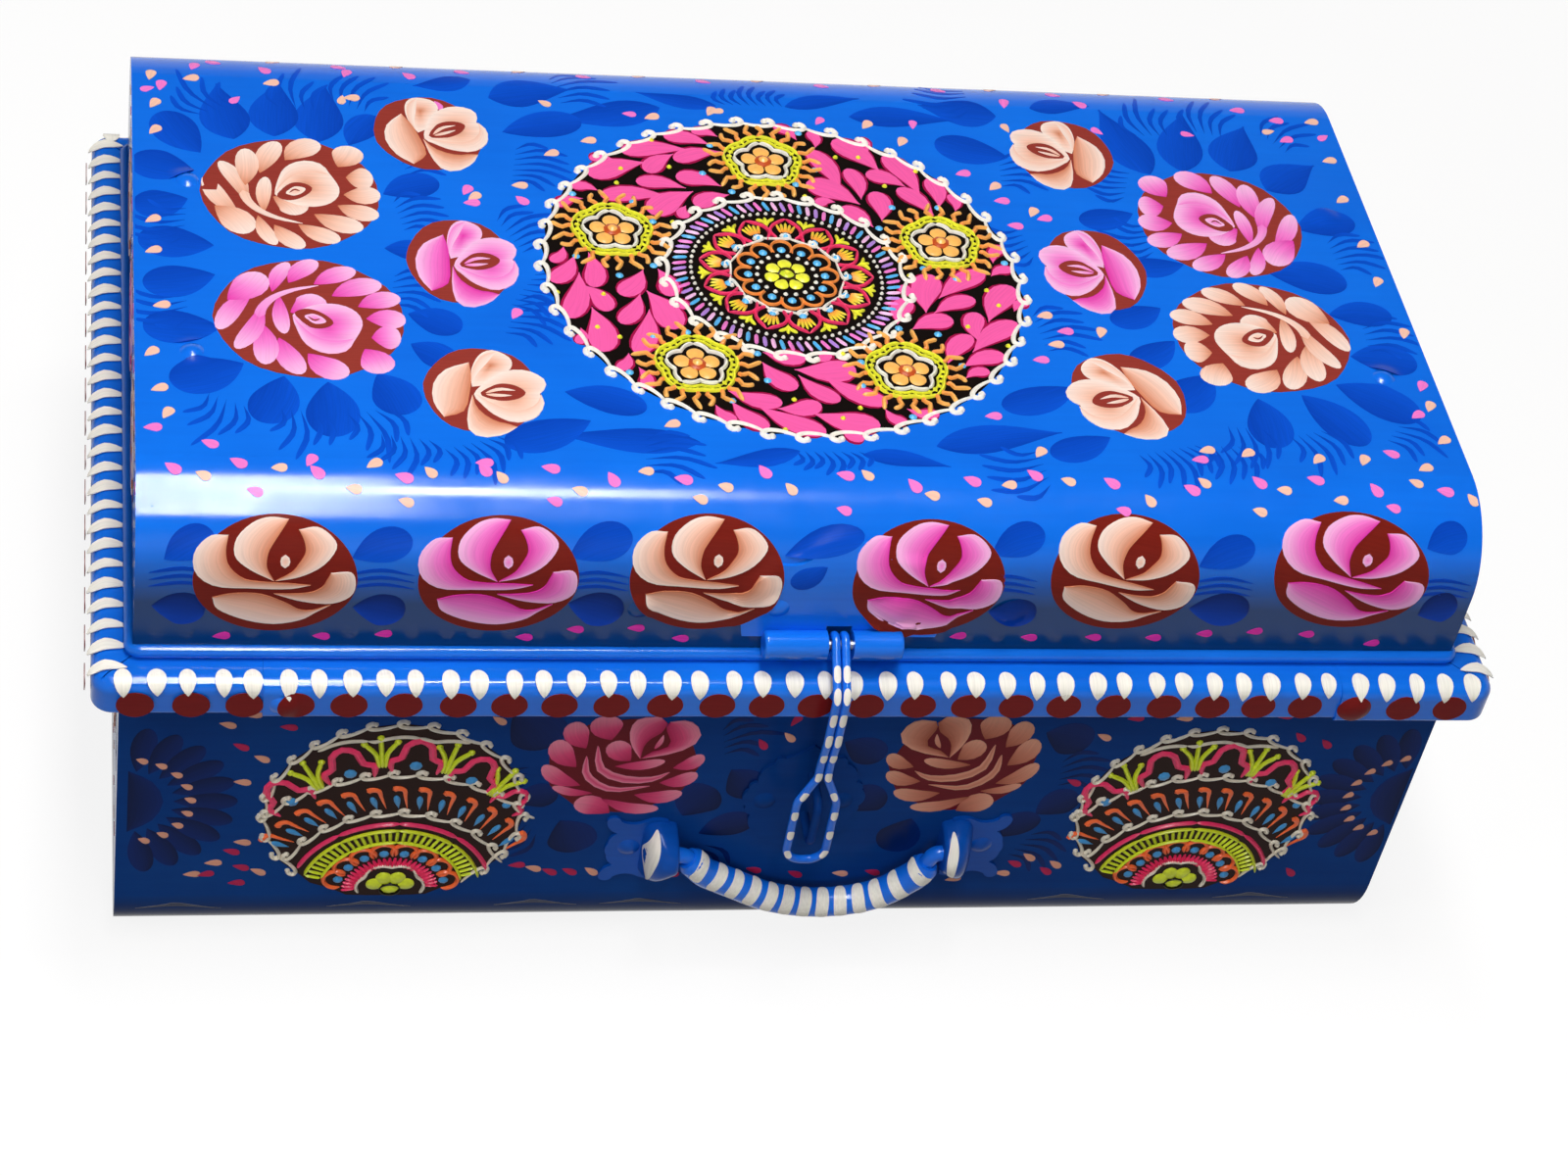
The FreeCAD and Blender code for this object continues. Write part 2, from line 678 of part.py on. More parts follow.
strap = Part.makeBox(2 * strap_half, dim("strap_metal"), dim("strap_height"),
                     vec(-strap_half, strap_y, strap_z - dim("strap_height") / 2))
strap_edges = [e for e in strap.Edges if near(e.BoundBox.XLength + e.BoundBox.ZLength, 0)]
strap = strap.makeFillet(dim("strap_height") / 3, strap_edges)
finished["lid_front_strap"] = drill("lid_front_strap", new_feature("strap_blank", strap), lid_holes)


# Body sheet and ends

hardware_holes = [rivet_hole(spot, AXIS_Y, dim("overrun")) for spot in lock_spots + ear_spots]
arm_radius = dim("staple_wire") + dim("rivet_play")
for arm_z in staple_arms:
    arm = vec(dim("staple_place"), body_front - dim("overrun"), arm_z)
    hardware_holes.append(Part.makeCylinder(arm_radius, 2 * dim("overrun"), arm, AXIS_Y))
finished["body_wrap"] = drill("body_wrap", body_wrap, hardware_holes)
finished["left_end_panel"] = end_panels["left"]
finished["right_end_panel"] = end_panels["right"]


# Hinges at the back: a base leaf over the rim, a lid leaf on the back of the lid, and a pin

knuckle = dim("hinge_pin") + dim("pin_play") + dim("hinge_metal")
pin_y = lid_back + dim("bead_offset") + dim("bead_radius") + dim("hinge_gap") + knuckle
pin_z = place("ledge") + dim("seam_gap") + knuckle
pin_centre = vec(0, pin_y, pin_z)
third = dim("hinge_width") / 3


def knuckle_barrel(low, high, radius):
    return Part.makeCylinder(radius, high - low, vec(low, pin_y, pin_z), AXIS_X)


def leaf_solid(section, centre):
    flat = section.copy()
    flat.translate(vec(centre - dim("hinge_width") / 2, 0, 0))
    return flat.extrude(AXIS_X * dim("hinge_width"))


def base_leaf(centre):
    """Two outer knuckles, over the ledge and down the back of the rim."""
    thick = dim("hinge_metal")
    flat_z = place("ledge") + dim("seam_gap") + thick / 2
    down_y = rim_outer - rim_step + dim("seam_gap") + thick / 2
    foot_z = dim("body_height") + dim("rim_foot")
    route = [vec(0, pin_y, flat_z), vec(0, down_y, flat_z), vec(0, down_y, foot_z)]
    radius = dim("rim_edge") + dim("seam_gap") + thick / 2
    leaf = leaf_solid(strip_section(route, radius, thick), centre)
    gap = dim("knuckle_gap") / 2
    notch = knuckle + dim("hinge_notch")
    leaf = leaf.cut(knuckle_barrel(centre - third / 2 - gap, centre + third / 2 + gap, notch))
    for side in (-1, 1):
        low = centre + side * third - third / 2 + (gap if side > 0 else 0)
        high = centre + side * third + third / 2 - (gap if side < 0 else 0)
        leaf = leaf.fuse(knuckle_barrel(low, high, knuckle))
    bore_radius = dim("hinge_pin") + dim("pin_play")
    leaf = leaf.cut(knuckle_barrel(centre - 2 * third, centre + 2 * third, bore_radius))
    holes = [rivet_hole(spot, AXIS_Y, dim("overrun")) for spot in hinge_base_spots]
    return leaf.cut(Part.makeCompound(holes)).removeSplitter()


def lid_leaf(centre):
    """One middle knuckle, up over the bead and flat on the back of the lid."""
    thick = dim("hinge_metal")
    rise = math.radians(dim("hinge_leaf_rise"))
    normal = vec(0, math.sin(rise), math.cos(rise))
    start = pin_centre + normal * (knuckle - thick / 2)
    face_y = lid_back + dim("seam_gap") + thick / 2
    corner = vec(0, face_y, start.z + (start.y - face_y) * math.tan(rise))
    end = vec(0, face_y, bead_height + dim("hinge_leaf_height"))
    leaf = leaf_solid(strip_section([start, corner, end], dim("hinge_bend"), thick), centre)
    gap = dim("knuckle_gap") / 2
    notch = knuckle + dim("hinge_notch")
    for side in (-1, 1):
        low = centre + side * third - third / 2 - (third if side < 0 else gap)
        high = centre + side * third + third / 2 + (third if side > 0 else gap)
        leaf = leaf.cut(knuckle_barrel(low, high, notch))
    leaf = leaf.fuse(knuckle_barrel(centre - third / 2 + gap, centre + third / 2 - gap, knuckle))
    bore_radius = dim("hinge_pin") + dim("pin_play")
    leaf = leaf.cut(knuckle_barrel(centre - 2 * third, centre + 2 * third, bore_radius))
    holes = [rivet_hole(spot, AXIS_Y, dim("overrun")) for spot in hinge_lid_spots]
    return leaf.cut(Part.makeCompound(holes)).removeSplitter()


hinge_centres = (-dim("hinge_place"), dim("hinge_place"))
base_leaves = Part.makeCompound([base_leaf(c) for c in hinge_centres])
lid_leaves = Part.makeCompound([lid_leaf(c) for c in hinge_centres])
finished["hinge_base_leaves"] = new_feature("hinge_base_leaves", base_leaves)
finished["hinge_lid_leaves"] = new_feature("hinge_lid_leaves", lid_leaves)
pin_length = dim("hinge_width") / 2
hinge_pins = [knuckle_barrel(c - pin_length, c + pin_length, dim("hinge_pin")) for c in hinge_centres]
finished["hinge_pins"] = new_feature("hinge_pins", Part.makeCompound(hinge_pins))
leaf_grip = dim("hinge_metal") + dim("seam_gap") + metal
lid_hinge_rivets = [rivet(spot, AXIS_Y, leaf_grip, dim("hinge_rivet_head")) for spot in hinge_lid_spots]
finished["hinge_lid_rivets"] = new_feature("hinge_lid_rivets", Part.makeCompound(lid_hinge_rivets))
base_hinge_rivets = [rivet(spot, AXIS_Y, leaf_grip, dim("hinge_rivet_head")) for spot in hinge_base_spots]
finished["hinge_base_rivets"] = new_feature("hinge_base_rivets", Part.makeCompound(base_hinge_rivets))


# Ornate plates: outlines are hand-chosen shares of each plate's width and height


def curved_outline(start_share, arc_shares, width, height):
    """Arcs through shares of width and height; each arc is a middle point and an end point."""
    def at(share):
        return vec(share[0] * width, share[1] * height, 0)

    edges = []
    here = at(start_share)
    for middle, end in arc_shares:
        edges.append(Part.Arc(here, at(middle), at(end)))
        here = at(end)
    return edges


def mirrored(arc_shares, start_share):
    """The same arcs on the other side, run backwards."""
    stops = [start_share] + [end for middle, end in arc_shares]
    middles = [middle for middle, end in arc_shares]
    result = []
    for i in range(len(middles) - 1, -1, -1):
        result.append(((-middles[i][0], middles[i][1]), (-stops[i][0], stops[i][1])))
    return result


def plate_face(start_share, right_shares, width, height, centre):
    """A closed outline, symmetrical about its own middle line, stood up in the XZ plane."""
    arcs = right_shares + mirrored(right_shares, start_share)
    edges = [arc.toShape() for arc in curved_outline(start_share, arcs, width, height)]
    foot = edges[-1].valueAt(edges[-1].LastParameter)
    head = edges[0].valueAt(edges[0].FirstParameter)
    if foot.distanceToPoint(head) > dim("seam_gap"):
        edges.append(Part.LineSegment(foot, head).toShape())
    face = Part.Face(Part.Wire(Part.__sortEdges__(edges)))
    face.Placement = FreeCAD.Placement(centre, FreeCAD.Rotation(AXIS_X, 90))
    return face


# from the middle of the foot, up the right side to the middle of the crown
LOCK_START_SHARE = (0.0, -0.50)
LOCK_RIGHT_SHARES = [
    ((0.11, -0.48), (0.22, -0.40)),
    ((0.27, -0.41), (0.32, -0.36)),
    ((0.40, -0.28), (0.41, -0.16)),
    ((0.45, -0.14), (0.46, -0.08)),
    ((0.50, 0.00), (0.46, 0.08)),
    ((0.45, 0.13), (0.40, 0.15)),
    ((0.38, 0.26), (0.29, 0.33)),
    ((0.27, 0.38), (0.21, 0.38)),
    ((0.12, 0.42), (0.0, 0.50)),
]
HASP_START_SHARE = (0.49, 0.0)
HASP_RIGHT_SHARES = [
    ((0.508, 0.25), (0.485, 0.50)),
    ((0.465, 0.58), (0.41, 0.66)),
    ((0.37, 0.72), (0.345, 0.80)),
    ((0.27, 0.80), (0.20, 0.85)),
    ((0.12, 0.94), (0.0, 1.0)),
]
EAR_START_SHARE = (0.14, -0.46)
EAR_OUTLINE_SHARES = [
    ((0.30, -0.49), (0.46, -0.45)),
    ((0.62, -0.41), (0.80, -0.46)),
    ((0.93, -0.52), (1.00, -0.46)),
    ((0.95, -0.34), (0.82, -0.26)),
    ((0.90, -0.20), (0.94, -0.09)),
    ((0.97, 0.00), (0.94, 0.09)),
    ((0.90, 0.20), (0.82, 0.26)),
    ((0.95, 0.34), (1.00, 0.46)),
    ((0.93, 0.52), (0.80, 0.46)),
    ((0.62, 0.41), (0.46, 0.45)),
    ((0.30, 0.49), (0.14, 0.46)),
]

# Lock plate, staple and rivets

lock_centre = vec(dim("lock_place"), body_front, dim("lock_height"))
lock_face = plate_face(LOCK_START_SHARE, LOCK_RIGHT_SHARES, dim("lock_plate_width"),
                       dim("lock_plate_height"), lock_centre)
lock_blank = new_feature("lock_plate_blank", lock_face.extrude(front * dim("lock_metal")))
finished["lock_plate"] = drill("lock_plate", lock_blank, hardware_holes)

staple_y = body_front - dim("staple_reach")
staple_back = body_front + metal
staple_points = [
    vec(dim("staple_place"), staple_back, staple_arms[0]),
    vec(dim("staple_place"), staple_y, staple_arms[0]),
    vec(dim("staple_place"), staple_y, staple_arms[1]),
    vec(dim("staple_place"), staple_back, staple_arms[1]),
]
staple = swept_rod(bent_path(staple_points, [dim("staple_bend")] * 2), dim("staple_wire"))
for arm_z in staple_arms:
    seat = vec(dim("staple_place"), staple_back, arm_z)
    staple = staple.fuse(Part.makeCylinder(dim("rivet_tail"), dim("tail_rise"), seat, AXIS_Y))
finished["lock_staple"] = new_feature("lock_staple", staple.removeSplitter())
lock_grip = dim("lock_metal") + metal
lock_rivets = [rivet(spot, front, lock_grip) for spot in lock_spots]
finished["lock_plate_rivets"] = new_feature("lock_plate_rivets", Part.makeCompound(lock_rivets))


# Hasp plate: follows the skirt and the rounded edge of the lid, with two rolled barrels at its foot

hasp_pin_z = bead_height + dim("hasp_pin_height")
hasp_pin_y = lid_front - dim("hasp_barrel")


def lid_outer_profile(grow):
    """The lid section grown outwards, as a block along X over the width of the hasp plate."""
    width = 2 * dim("hasp_plate_width")
    low = vec(-width / 2 + dim("hasp_place"), lid_front - grow, hasp_pin_z)
    height = place("lid_top") + grow - hasp_pin_z
    block = Part.makeBox(width, place("lid_depth_half"), height, low)
    edge = [e for e in block.Edges if near(e.BoundBox.YMax, lid_front - grow)
            and near(e.BoundBox.ZMin, place("lid_top") + grow)]
    return block.makeFillet(dim("bend_radius") + grow, edge)


hasp_centre = vec(dim("hasp_place") + dim("hasp_plate_shift"), lid_front + dim("bend_radius"), hasp_pin_z)
hasp_face = plate_face(HASP_START_SHARE, HASP_RIGHT_SHARES, dim("hasp_plate_width"),
                       dim("hasp_plate_height"), hasp_centre)
hasp_prism = hasp_face.extrude(front * (dim("bend_radius") + 2 * dim("hasp_metal")))
shell = lid_outer_profile(dim("hasp_metal") + dim("seam_gap")).cut(lid_outer_profile(dim("seam_gap")))
hasp_solid = hasp_prism.common(shell)
barrel_ends = (dim("hasp_place") - dim("hasp_half_length"), dim("hasp_place") + dim("hasp_half_length"))
gap_ends = (dim("link_place") - dim("link_gap") / 2, dim("link_place") + dim("link_gap") / 2)
barrel_radius = dim("hasp_barrel") - dim("seam_gap")
for outer_x, inner_x in zip(barrel_ends, gap_ends):
    low = vec(min(outer_x, inner_x), hasp_pin_y, hasp_pin_z)
    barrel = Part.makeCylinder(barrel_radius, abs(outer_x - inner_x), low, AXIS_X)
    outer_rim = [e for e in barrel.Edges if near(e.BoundBox.XLength, 0) and near(e.BoundBox.XMin, outer_x)]
    hasp_solid = hasp_solid.fuse(barrel.makeFillet(dim("hasp_metal"), outer_rim))
gap_low = vec(gap_ends[0], lid_front - 2 * dim("hasp_barrel"), hasp_pin_z - dim("hasp_barrel"))
gap_block = Part.makeBox(dim("link_gap"), 2 * dim("hasp_barrel"), 2 * dim("hasp_barrel"), gap_low)
bore_start = vec(barrel_ends[0] + dim("hasp_metal"), hasp_pin_y, hasp_pin_z)
bore_run = 2 * (dim("hasp_half_length") - dim("hasp_metal"))
hasp_bore = Part.makeCylinder(dim("hasp_pin") + dim("pin_play"), bore_run, bore_start, AXIS_X)
hasp_solid = hasp_solid.cut(gap_block).cut(hasp_bore).removeSplitter()
hasp_blank = new_feature("hasp_plate_blank", hasp_solid)
finished["hasp_plate"] = drill("hasp_plate", hasp_blank, lid_holes)
pin_start = bore_start + AXIS_X * dim("seam_gap")
hasp_pin_solid = Part.makeCylinder(dim("hasp_pin"), bore_run - 2 * dim("seam_gap"), pin_start, AXIS_X)
finished["hasp_pin"] = new_feature("hasp_pin", hasp_pin_solid)
hasp_grip = dim("hasp_metal") + dim("seam_gap") + strapped
hasp_rivets = [rivet(spot, front, hasp_grip) for spot in hasp_spots]
finished["hasp_plate_rivets"] = new_feature("hasp_plate_rivets", Part.makeCompound(hasp_rivets))


# Hasp link: one wire, looped round the pin, out over the rim, down in two legs and round the eye

ring_radius = dim("hasp_pin") + dim("pin_play") + dim("link_wire")
reach = dim("link_reach")
length = dim("link_length")
leg_x = dim("link_leg_place")
eye_half = dim("eye_width") / 2
ELBOW_SHARES = (0.973, 0.098)
KNEE_SHARES = (1.0, 0.33)
HIP_SHARE = 0.46
EYE_REACH_SHARE = 0.891
SHOULDER_SHARE = 0.30


def link_point(x, out, down):
    """A point of the link, from the pin: across, out from the lid and down."""
    return vec(dim("link_place") + x, hasp_pin_y - out, hasp_pin_z - down)


elbow_out = ELBOW_SHARES[0] * reach
elbow_down = ELBOW_SHARES[1] * length
slope = math.atan2(elbow_down, elbow_out)
aim = slope + math.asin(ring_radius / math.hypot(elbow_out, elbow_down))
start_out = ring_radius * math.sin(aim)
start_up = ring_radius * math.cos(aim)
eye_out = EYE_REACH_SHARE * reach
eye_top = length - dim("eye_length")
one_side = [
    (leg_x, start_out, -start_up),
    (leg_x, elbow_out, elbow_down),
    (leg_x, KNEE_SHARES[0] * reach, KNEE_SHARES[1] * length),
    (leg_x, eye_out, HIP_SHARE * length),
    (leg_x, eye_out, eye_top),
    (eye_half, eye_out, eye_top + SHOULDER_SHARE * dim("eye_length")),
    (eye_half, eye_out, length),
]
other_side = [(-x, out, down) for x, out, down in reversed(one_side)]
route = [link_point(*stop) for stop in one_side + other_side]
LINK_BEND_SHARES = (0.34, 0.8, 0.8, 0.4, 0.45, 0.34)
link_bends = [share * reach for share in LINK_BEND_SHARES]
link_shape = swept_rod(bent_path(route, link_bends + link_bends[::-1]), dim("link_wire"))
for side in (-1, 1):
    ring = Part.makeTorus(ring_radius, dim("link_wire"), link_point(side * leg_x, 0, 0), AXIS_X)
    link_shape = link_shape.fuse(ring)
finished["hasp_link"] = new_feature("hasp_link", link_shape.removeSplitter())


# Drop handle: two ears with knuckles, a bent wire and a rolled grip

pivot_y = body_front - dim("knuckle_radius")
pivot_z = dim("handle_height")
span = dim("handle_half_span")


# the raised knuckle of an ear, from its mouth outwards: shares of its length, and of its radius for
# half the height and for how far it stands out
KNUCKLE_SHARES = [
    (0.0, 1.15, 2.0),
    (0.36, 1.50, 1.94),
    (0.70, 1.72, 1.66),
    (0.90, 1.62, 1.05),
    (1.0, 1.45, 0.24),
]
MOUTH_ROUND_SHARE = 0.25


def knuckle_section(x, middle, half_height, depth):
    """Half an oval on the front of the body, closed along the wall."""
    points = []
    for turn in range(0, 181, 15):
        angle = math.radians(turn)
        points.append(vec(x, body_front - depth * math.sin(angle), middle + half_height * math.cos(angle)))
    curve = Part.BSplineCurve()
    curve.interpolate(points)
    return Part.Wire([curve.toShape(), Part.LineSegment(points[-1], points[0]).toShape()])


def ear_solid(side):
    """A wavy plate with a raised knuckle at its inner end."""
    inner_x = dim("handle_place") + side * span
    arcs = curved_outline(EAR_START_SHARE, EAR_OUTLINE_SHARES, side * dim("ear_width"), dim("ear_height"))
    edges = [arc.toShape() for arc in arcs]
    foot = edges[-1].valueAt(edges[-1].LastParameter)
    head = edges[0].valueAt(edges[0].FirstParameter)
    edges.append(Part.LineSegment(foot, head).toShape())
    face = Part.Face(Part.Wire(Part.__sortEdges__(edges)))
    centre = vec(inner_x, body_front, pivot_z - dim("ear_drop"))
    face.Placement = FreeCAD.Placement(centre, FreeCAD.Rotation(AXIS_X, 90))
    plate = face.extrude(front * dim("ear_metal"))
    radius = dim("knuckle_radius")
    sections = []
    for along, tall, deep in KNUCKLE_SHARES:
        x = inner_x + side * along * dim("knuckle_length")
        middle = pivot_z - along * dim("ear_drop")
        sections.append(knuckle_section(x, middle, tall * radius, deep * radius))
    knuckle_solid = Part.makeLoft(sections, True)
    mouth = [e for e in knuckle_solid.Edges if near(e.BoundBox.XLength, 0) and near(e.BoundBox.XMin, inner_x)
             and e.BoundBox.YLength > radius]
    knuckle_solid = knuckle_solid.makeFillet(MOUTH_ROUND_SHARE * radius, mouth)
    ear = plate.fuse(knuckle_solid)
    bore_radius = dim("handle_wire") + dim("pin_play")
    bore_low = min(inner_x - side * dim("overrun"), inner_x + side * dim("knuckle_bore"))
    bore_run = dim("knuckle_bore") + dim("overrun")
    ear = ear.cut(Part.makeCylinder(bore_radius, bore_run, vec(bore_low, pivot_y, pivot_z), AXIS_X))
    holes = [rivet_hole(spot, AXIS_Y, dim("overrun")) for spot in ear_spots]
    return ear.cut(Part.makeCompound(holes)).removeSplitter()


finished["handle_left_ear"] = new_feature("handle_left_ear", ear_solid(-1))
finished["handle_right_ear"] = new_feature("handle_right_ear", ear_solid(1))
ear_grip = dim("ear_metal") + metal
ear_rivets = [rivet(spot, front, ear_grip) for spot in ear_spots]
finished["handle_ear_rivets"] = new_feature("handle_ear_rivets", Part.makeCompound(ear_rivets))

# the bow hangs a little fuller on its right side; shares of half the span and of the drop
BOW_SHARES = [
    (-0.946, 0.0),
    (-0.774, 0.33),
    (-0.27, 0.804),
    (0.151, 0.983),
    (0.598, 0.788),
    (0.864, 0.371),
    (0.941, 0.0),
]
BOW_BEND_SHARES = (0.09, 0.25, 0.74, 1.1, 0.62, 0.3, 0.074)


def bow_point(share_x, share_drop):
    return vec(dim("handle_place") + share_x * span, pivot_y, pivot_z - share_drop * dim("handle_drop"))


corners = [bow_point(*share) for share in BOW_SHARES]
pin_end = span + dim("knuckle_bore") - dim("hinge_gap")
left_end = vec(dim("handle_place") - pin_end, pivot_y, pivot_z)
right_end = vec(dim("handle_place") + pin_end, pivot_y, pivot_z)
bow_bends = [share * span for share in BOW_BEND_SHARES]
wire_path = bent_path([left_end] + corners + [right_end], bow_bends)
finished["handle_wire"] = new_feature("handle_wire", swept_rod(wire_path, dim("handle_wire")))

GRIP_START_SHARE = 0.36
START_TAPER_SHARE = 0.18
GRIP_END_SHARE = 0.66
END_TAPER_SHARE = 0.20
first_run = corners[1] - corners[0]
last_run = corners[-2] - corners[-1]
taper_left = corners[0] + first_run * (GRIP_START_SHARE - START_TAPER_SHARE)
grip_left = corners[0] + first_run * GRIP_START_SHARE
grip_right = corners[-1] + last_run * GRIP_END_SHARE
taper_right = corners[-1] + last_run * (GRIP_END_SHARE - END_TAPER_SHARE)
inner_corners = corners[1:-1]
inner_bends = bow_bends[1:-1]
grip_path = bent_path([grip_left] + inner_corners + [grip_right], inner_bends)
grip = swept_rod(grip_path, dim("handle_grip"))
neck = (dim("handle_wire") + dim("handle_grip")) / 2
for tip, root in ((taper_left, grip_left), (taper_right, grip_right)):
    run = root - tip
    grip = grip.fuse(Part.makeCone(neck, dim("handle_grip"), run.Length, tip, run))
bore_path = bent_path([corners[0]] + inner_corners + [corners[-1]], inner_bends)
grip = grip.cut(swept_rod(bore_path, dim("handle_wire") + dim("seam_gap")))
finished["handle_grip"] = new_feature("handle_grip", grip.removeSplitter())

doc.recompute()

# Check every object and write one file for each piece

for item in doc.Objects:
    if "Invalid" in item.State or "Error" in item.State:
        raise ValueError("failed feature: " + item.Name)
for name, item in finished.items():
    item.Label = name
    shape = item.Shape
    if shape.isNull() or not shape.isValid() or not shape.Solids:
        raise ValueError("bad shape: " + name)
    shape.exportStep("parts/" + name + ".step")
    print(name, len(shape.Solids), round(shape.Volume, 1))
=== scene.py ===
import math
from functools import partial
import bpy
import numpy as np
from mathutils import Matrix, Vector
from mathutils.bvhtree import BVHTree


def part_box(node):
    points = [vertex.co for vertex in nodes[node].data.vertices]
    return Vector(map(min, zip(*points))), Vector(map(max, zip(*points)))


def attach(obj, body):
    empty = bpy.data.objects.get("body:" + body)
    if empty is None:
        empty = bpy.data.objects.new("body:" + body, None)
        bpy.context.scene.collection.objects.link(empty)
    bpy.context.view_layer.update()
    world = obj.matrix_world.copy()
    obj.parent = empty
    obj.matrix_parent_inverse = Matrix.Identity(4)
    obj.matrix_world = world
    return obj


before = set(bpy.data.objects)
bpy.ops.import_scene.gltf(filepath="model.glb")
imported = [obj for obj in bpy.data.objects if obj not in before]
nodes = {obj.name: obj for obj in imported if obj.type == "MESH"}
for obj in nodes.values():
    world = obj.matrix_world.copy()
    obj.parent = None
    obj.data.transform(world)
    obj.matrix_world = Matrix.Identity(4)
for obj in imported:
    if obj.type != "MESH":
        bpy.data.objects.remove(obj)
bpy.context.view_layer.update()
mm = 0.001
print("frame loaded,", len(nodes), "sheet steel and wire pieces")


# Colours are sRGB hex, turned to linear here.
def tone(code):
    parts = [int(code[k:k + 2], 16) / 255 for k in (1, 3, 5)]
    return [p / 12.92 if p <= 0.04045 else ((p + 0.055) / 1.055) ** 2.4 for p in parts] + [1.0]


# Paints as they stand in the painter's pots.
pot = {
    "leaf": "#0d55d4", "leafDeep": "#0a46bc", "shadeLeaf": "#08286e", "shadeDeep": "#071a48",
    "ground": "#983a31", "pinkPale": "#ffc4ec", "pink": "#fb80d2", "pinkDeep": "#ea3aac",
    "peachPale": "#ffe8dc", "peach": "#fcc8b0", "peachDeep": "#dc8560",
    "rosePale": "#f794ab", "rose": "#e4487a", "roseDeep": "#bb2856",
    "clayPale": "#eaa78c", "clay": "#d28269", "clayDeep": "#a85a43", "shadeGround": "#7c2219",
    "black": "#150f0d", "umber": "#2b1712", "white": "#fbf6ea", "cream": "#e6dcc8", "ash": "#6d707c",
    "orange": "#ff9646", "coral": "#ff6e34", "amber": "#ffbe60", "rust": "#c4501c", "lime": "#d9e62e",
    "yellow": "#f4f23c", "sky": "#56b8f0", "dusk": "#3d90cc", "violet": "#b98be0", "magenta": "#f03468",
    "spray": "#fc62ac", "wine": "#a8164a", "brick": "#7c1c1b", "plum": "#6c1520",
}


# Blanks: flat brush marks and round blots, each modelled once and then laid again and again.
def liftBlank():  # gives the flat mesh its wall and its underside, and reads it off
    bpy.ops.mesh.select_all(action="SELECT")
    bpy.ops.mesh.extrude_region_move(TRANSFORM_OT_translate={"value": (0, 0, -1)})
    bpy.ops.mesh.select_all(action="SELECT")
    bpy.ops.mesh.normals_make_consistent(inside=False)
    bpy.ops.object.mode_set(mode="OBJECT")
    mesh = bpy.context.object.data
    for face in mesh.polygons:
        face.select = abs(face.normal.z) > 0.9 and face.center.z < -0.5
    bpy.ops.object.mode_set(mode="EDIT")
    bpy.ops.mesh.dissolve_faces(use_verts=False)
    bpy.ops.object.mode_set(mode="OBJECT")
    places = np.array([v.co for v in mesh.vertices])
    faces = [tuple(face.vertices) for face in mesh.polygons]
    top = places[:, 2] > -0.5
    corners = np.array([f[:3] for f in faces if all(top[k] for k in f)])
    first = places[corners]
    if np.cross(first[:, 1] - first[:, 0], first[:, 2] - first[:, 0])[:, 2].sum() < 0:
        faces = [f[::-1] for f in faces]
        corners = corners[:, ::-1]
    blank = {"flat": places[:, :2], "top": top, "faces": faces, "corners": corners}
    bpy.data.objects.remove(bpy.context.object)
    bpy.data.meshes.remove(mesh)
    return blank


def brushBlank(along, across):
    bpy.ops.object.select_all(action="DESELECT")
    bpy.ops.mesh.primitive_grid_add(x_subdivisions=along, y_subdivisions=across, size=2)
    bpy.ops.object.mode_set(mode="EDIT")
    return liftBlank()


def blotBlank(rings, spokes):
    bpy.ops.object.select_all(action="DESELECT")
    bpy.ops.mesh.primitive_circle_add(vertices=spokes, radius=1, fill_type="NGON")
    bpy.ops.object.mode_set(mode="EDIT")
    for ring in range(rings - 1):
        bpy.ops.mesh.inset(thickness=1 / rings * math.cos(math.pi / spokes), depth=0)
    bpy.ops.mesh.poke()
    return liftBlank()


blanks = {
    "petal": brushBlank(10, 4), "leaf": brushBlank(12, 4), "line": brushBlank(9, 3),
    "long": brushBlank(24, 3), "wide": brushBlank(18, 10), "dense": brushBlank(30, 24), "bar": brushBlank(4, 2),
    "bud": blotBlank(2, 8), "blot": blotBlank(5, 32), "disc": blotBlank(2, 96),
}
print("brush blanks ready")


# Films: all the marks of one kind on one sheet become one piece.
films = {}


def openFilms(stem, kinds, body="box", slot="body_enamel", finish="brushed"):
    for kind in kinds.split():
        films[stem + kind] = {"body": body, "finish": finish, "slot": slot, "count": 0,
                              "points": [], "faces": [], "tints": [], "grains": []}


def lay(film, blank, sheet, spots, heights, tints, grains):
    shape = blanks[blank]
    a, b, c = (spots[shape["corners"][:, k]] for k in range(3))
    turned = ((b - a)[:, 0] * (c - a)[:, 1] - (b - a)[:, 1] * (c - a)[:, 0]).sum() < 0
    places, normals = sheet(spots)
    store = films[film]
    store["points"].append((places + normals * heights[:, None]) * mm)
    start = store["count"]
    store["faces"] += [tuple(start + k for k in (reversed(f) if turned else f)) for f in shape["faces"]]
    store["tints"].append(tints)
    store["grains"].append(grains)
    store["count"] += len(spots)


def throughCurve(points, t):  # a smooth line through given points
    p = np.asarray(points, float)
    if len(p) == 2:
        return p[0] + (p[1] - p[0]) * t[:, None]
    p = np.vstack([2 * p[0] - p[1], p, 2 * p[-1] - p[-2]])
    n = len(p) - 3
    s = np.clip(t, 0, 1) * n
    k = np.minimum(s.astype(int), n - 1)
    f = (s - k)[:, None]
    a, b, c, d = p[k], p[k + 1], p[k + 2], p[k + 3]
    return 0.5 * (2 * b + (c - a) * f + (2 * a - 5 * b + 4 * c - d) * f ** 2 + (3 * b - a - 3 * c + d) * f ** 3)


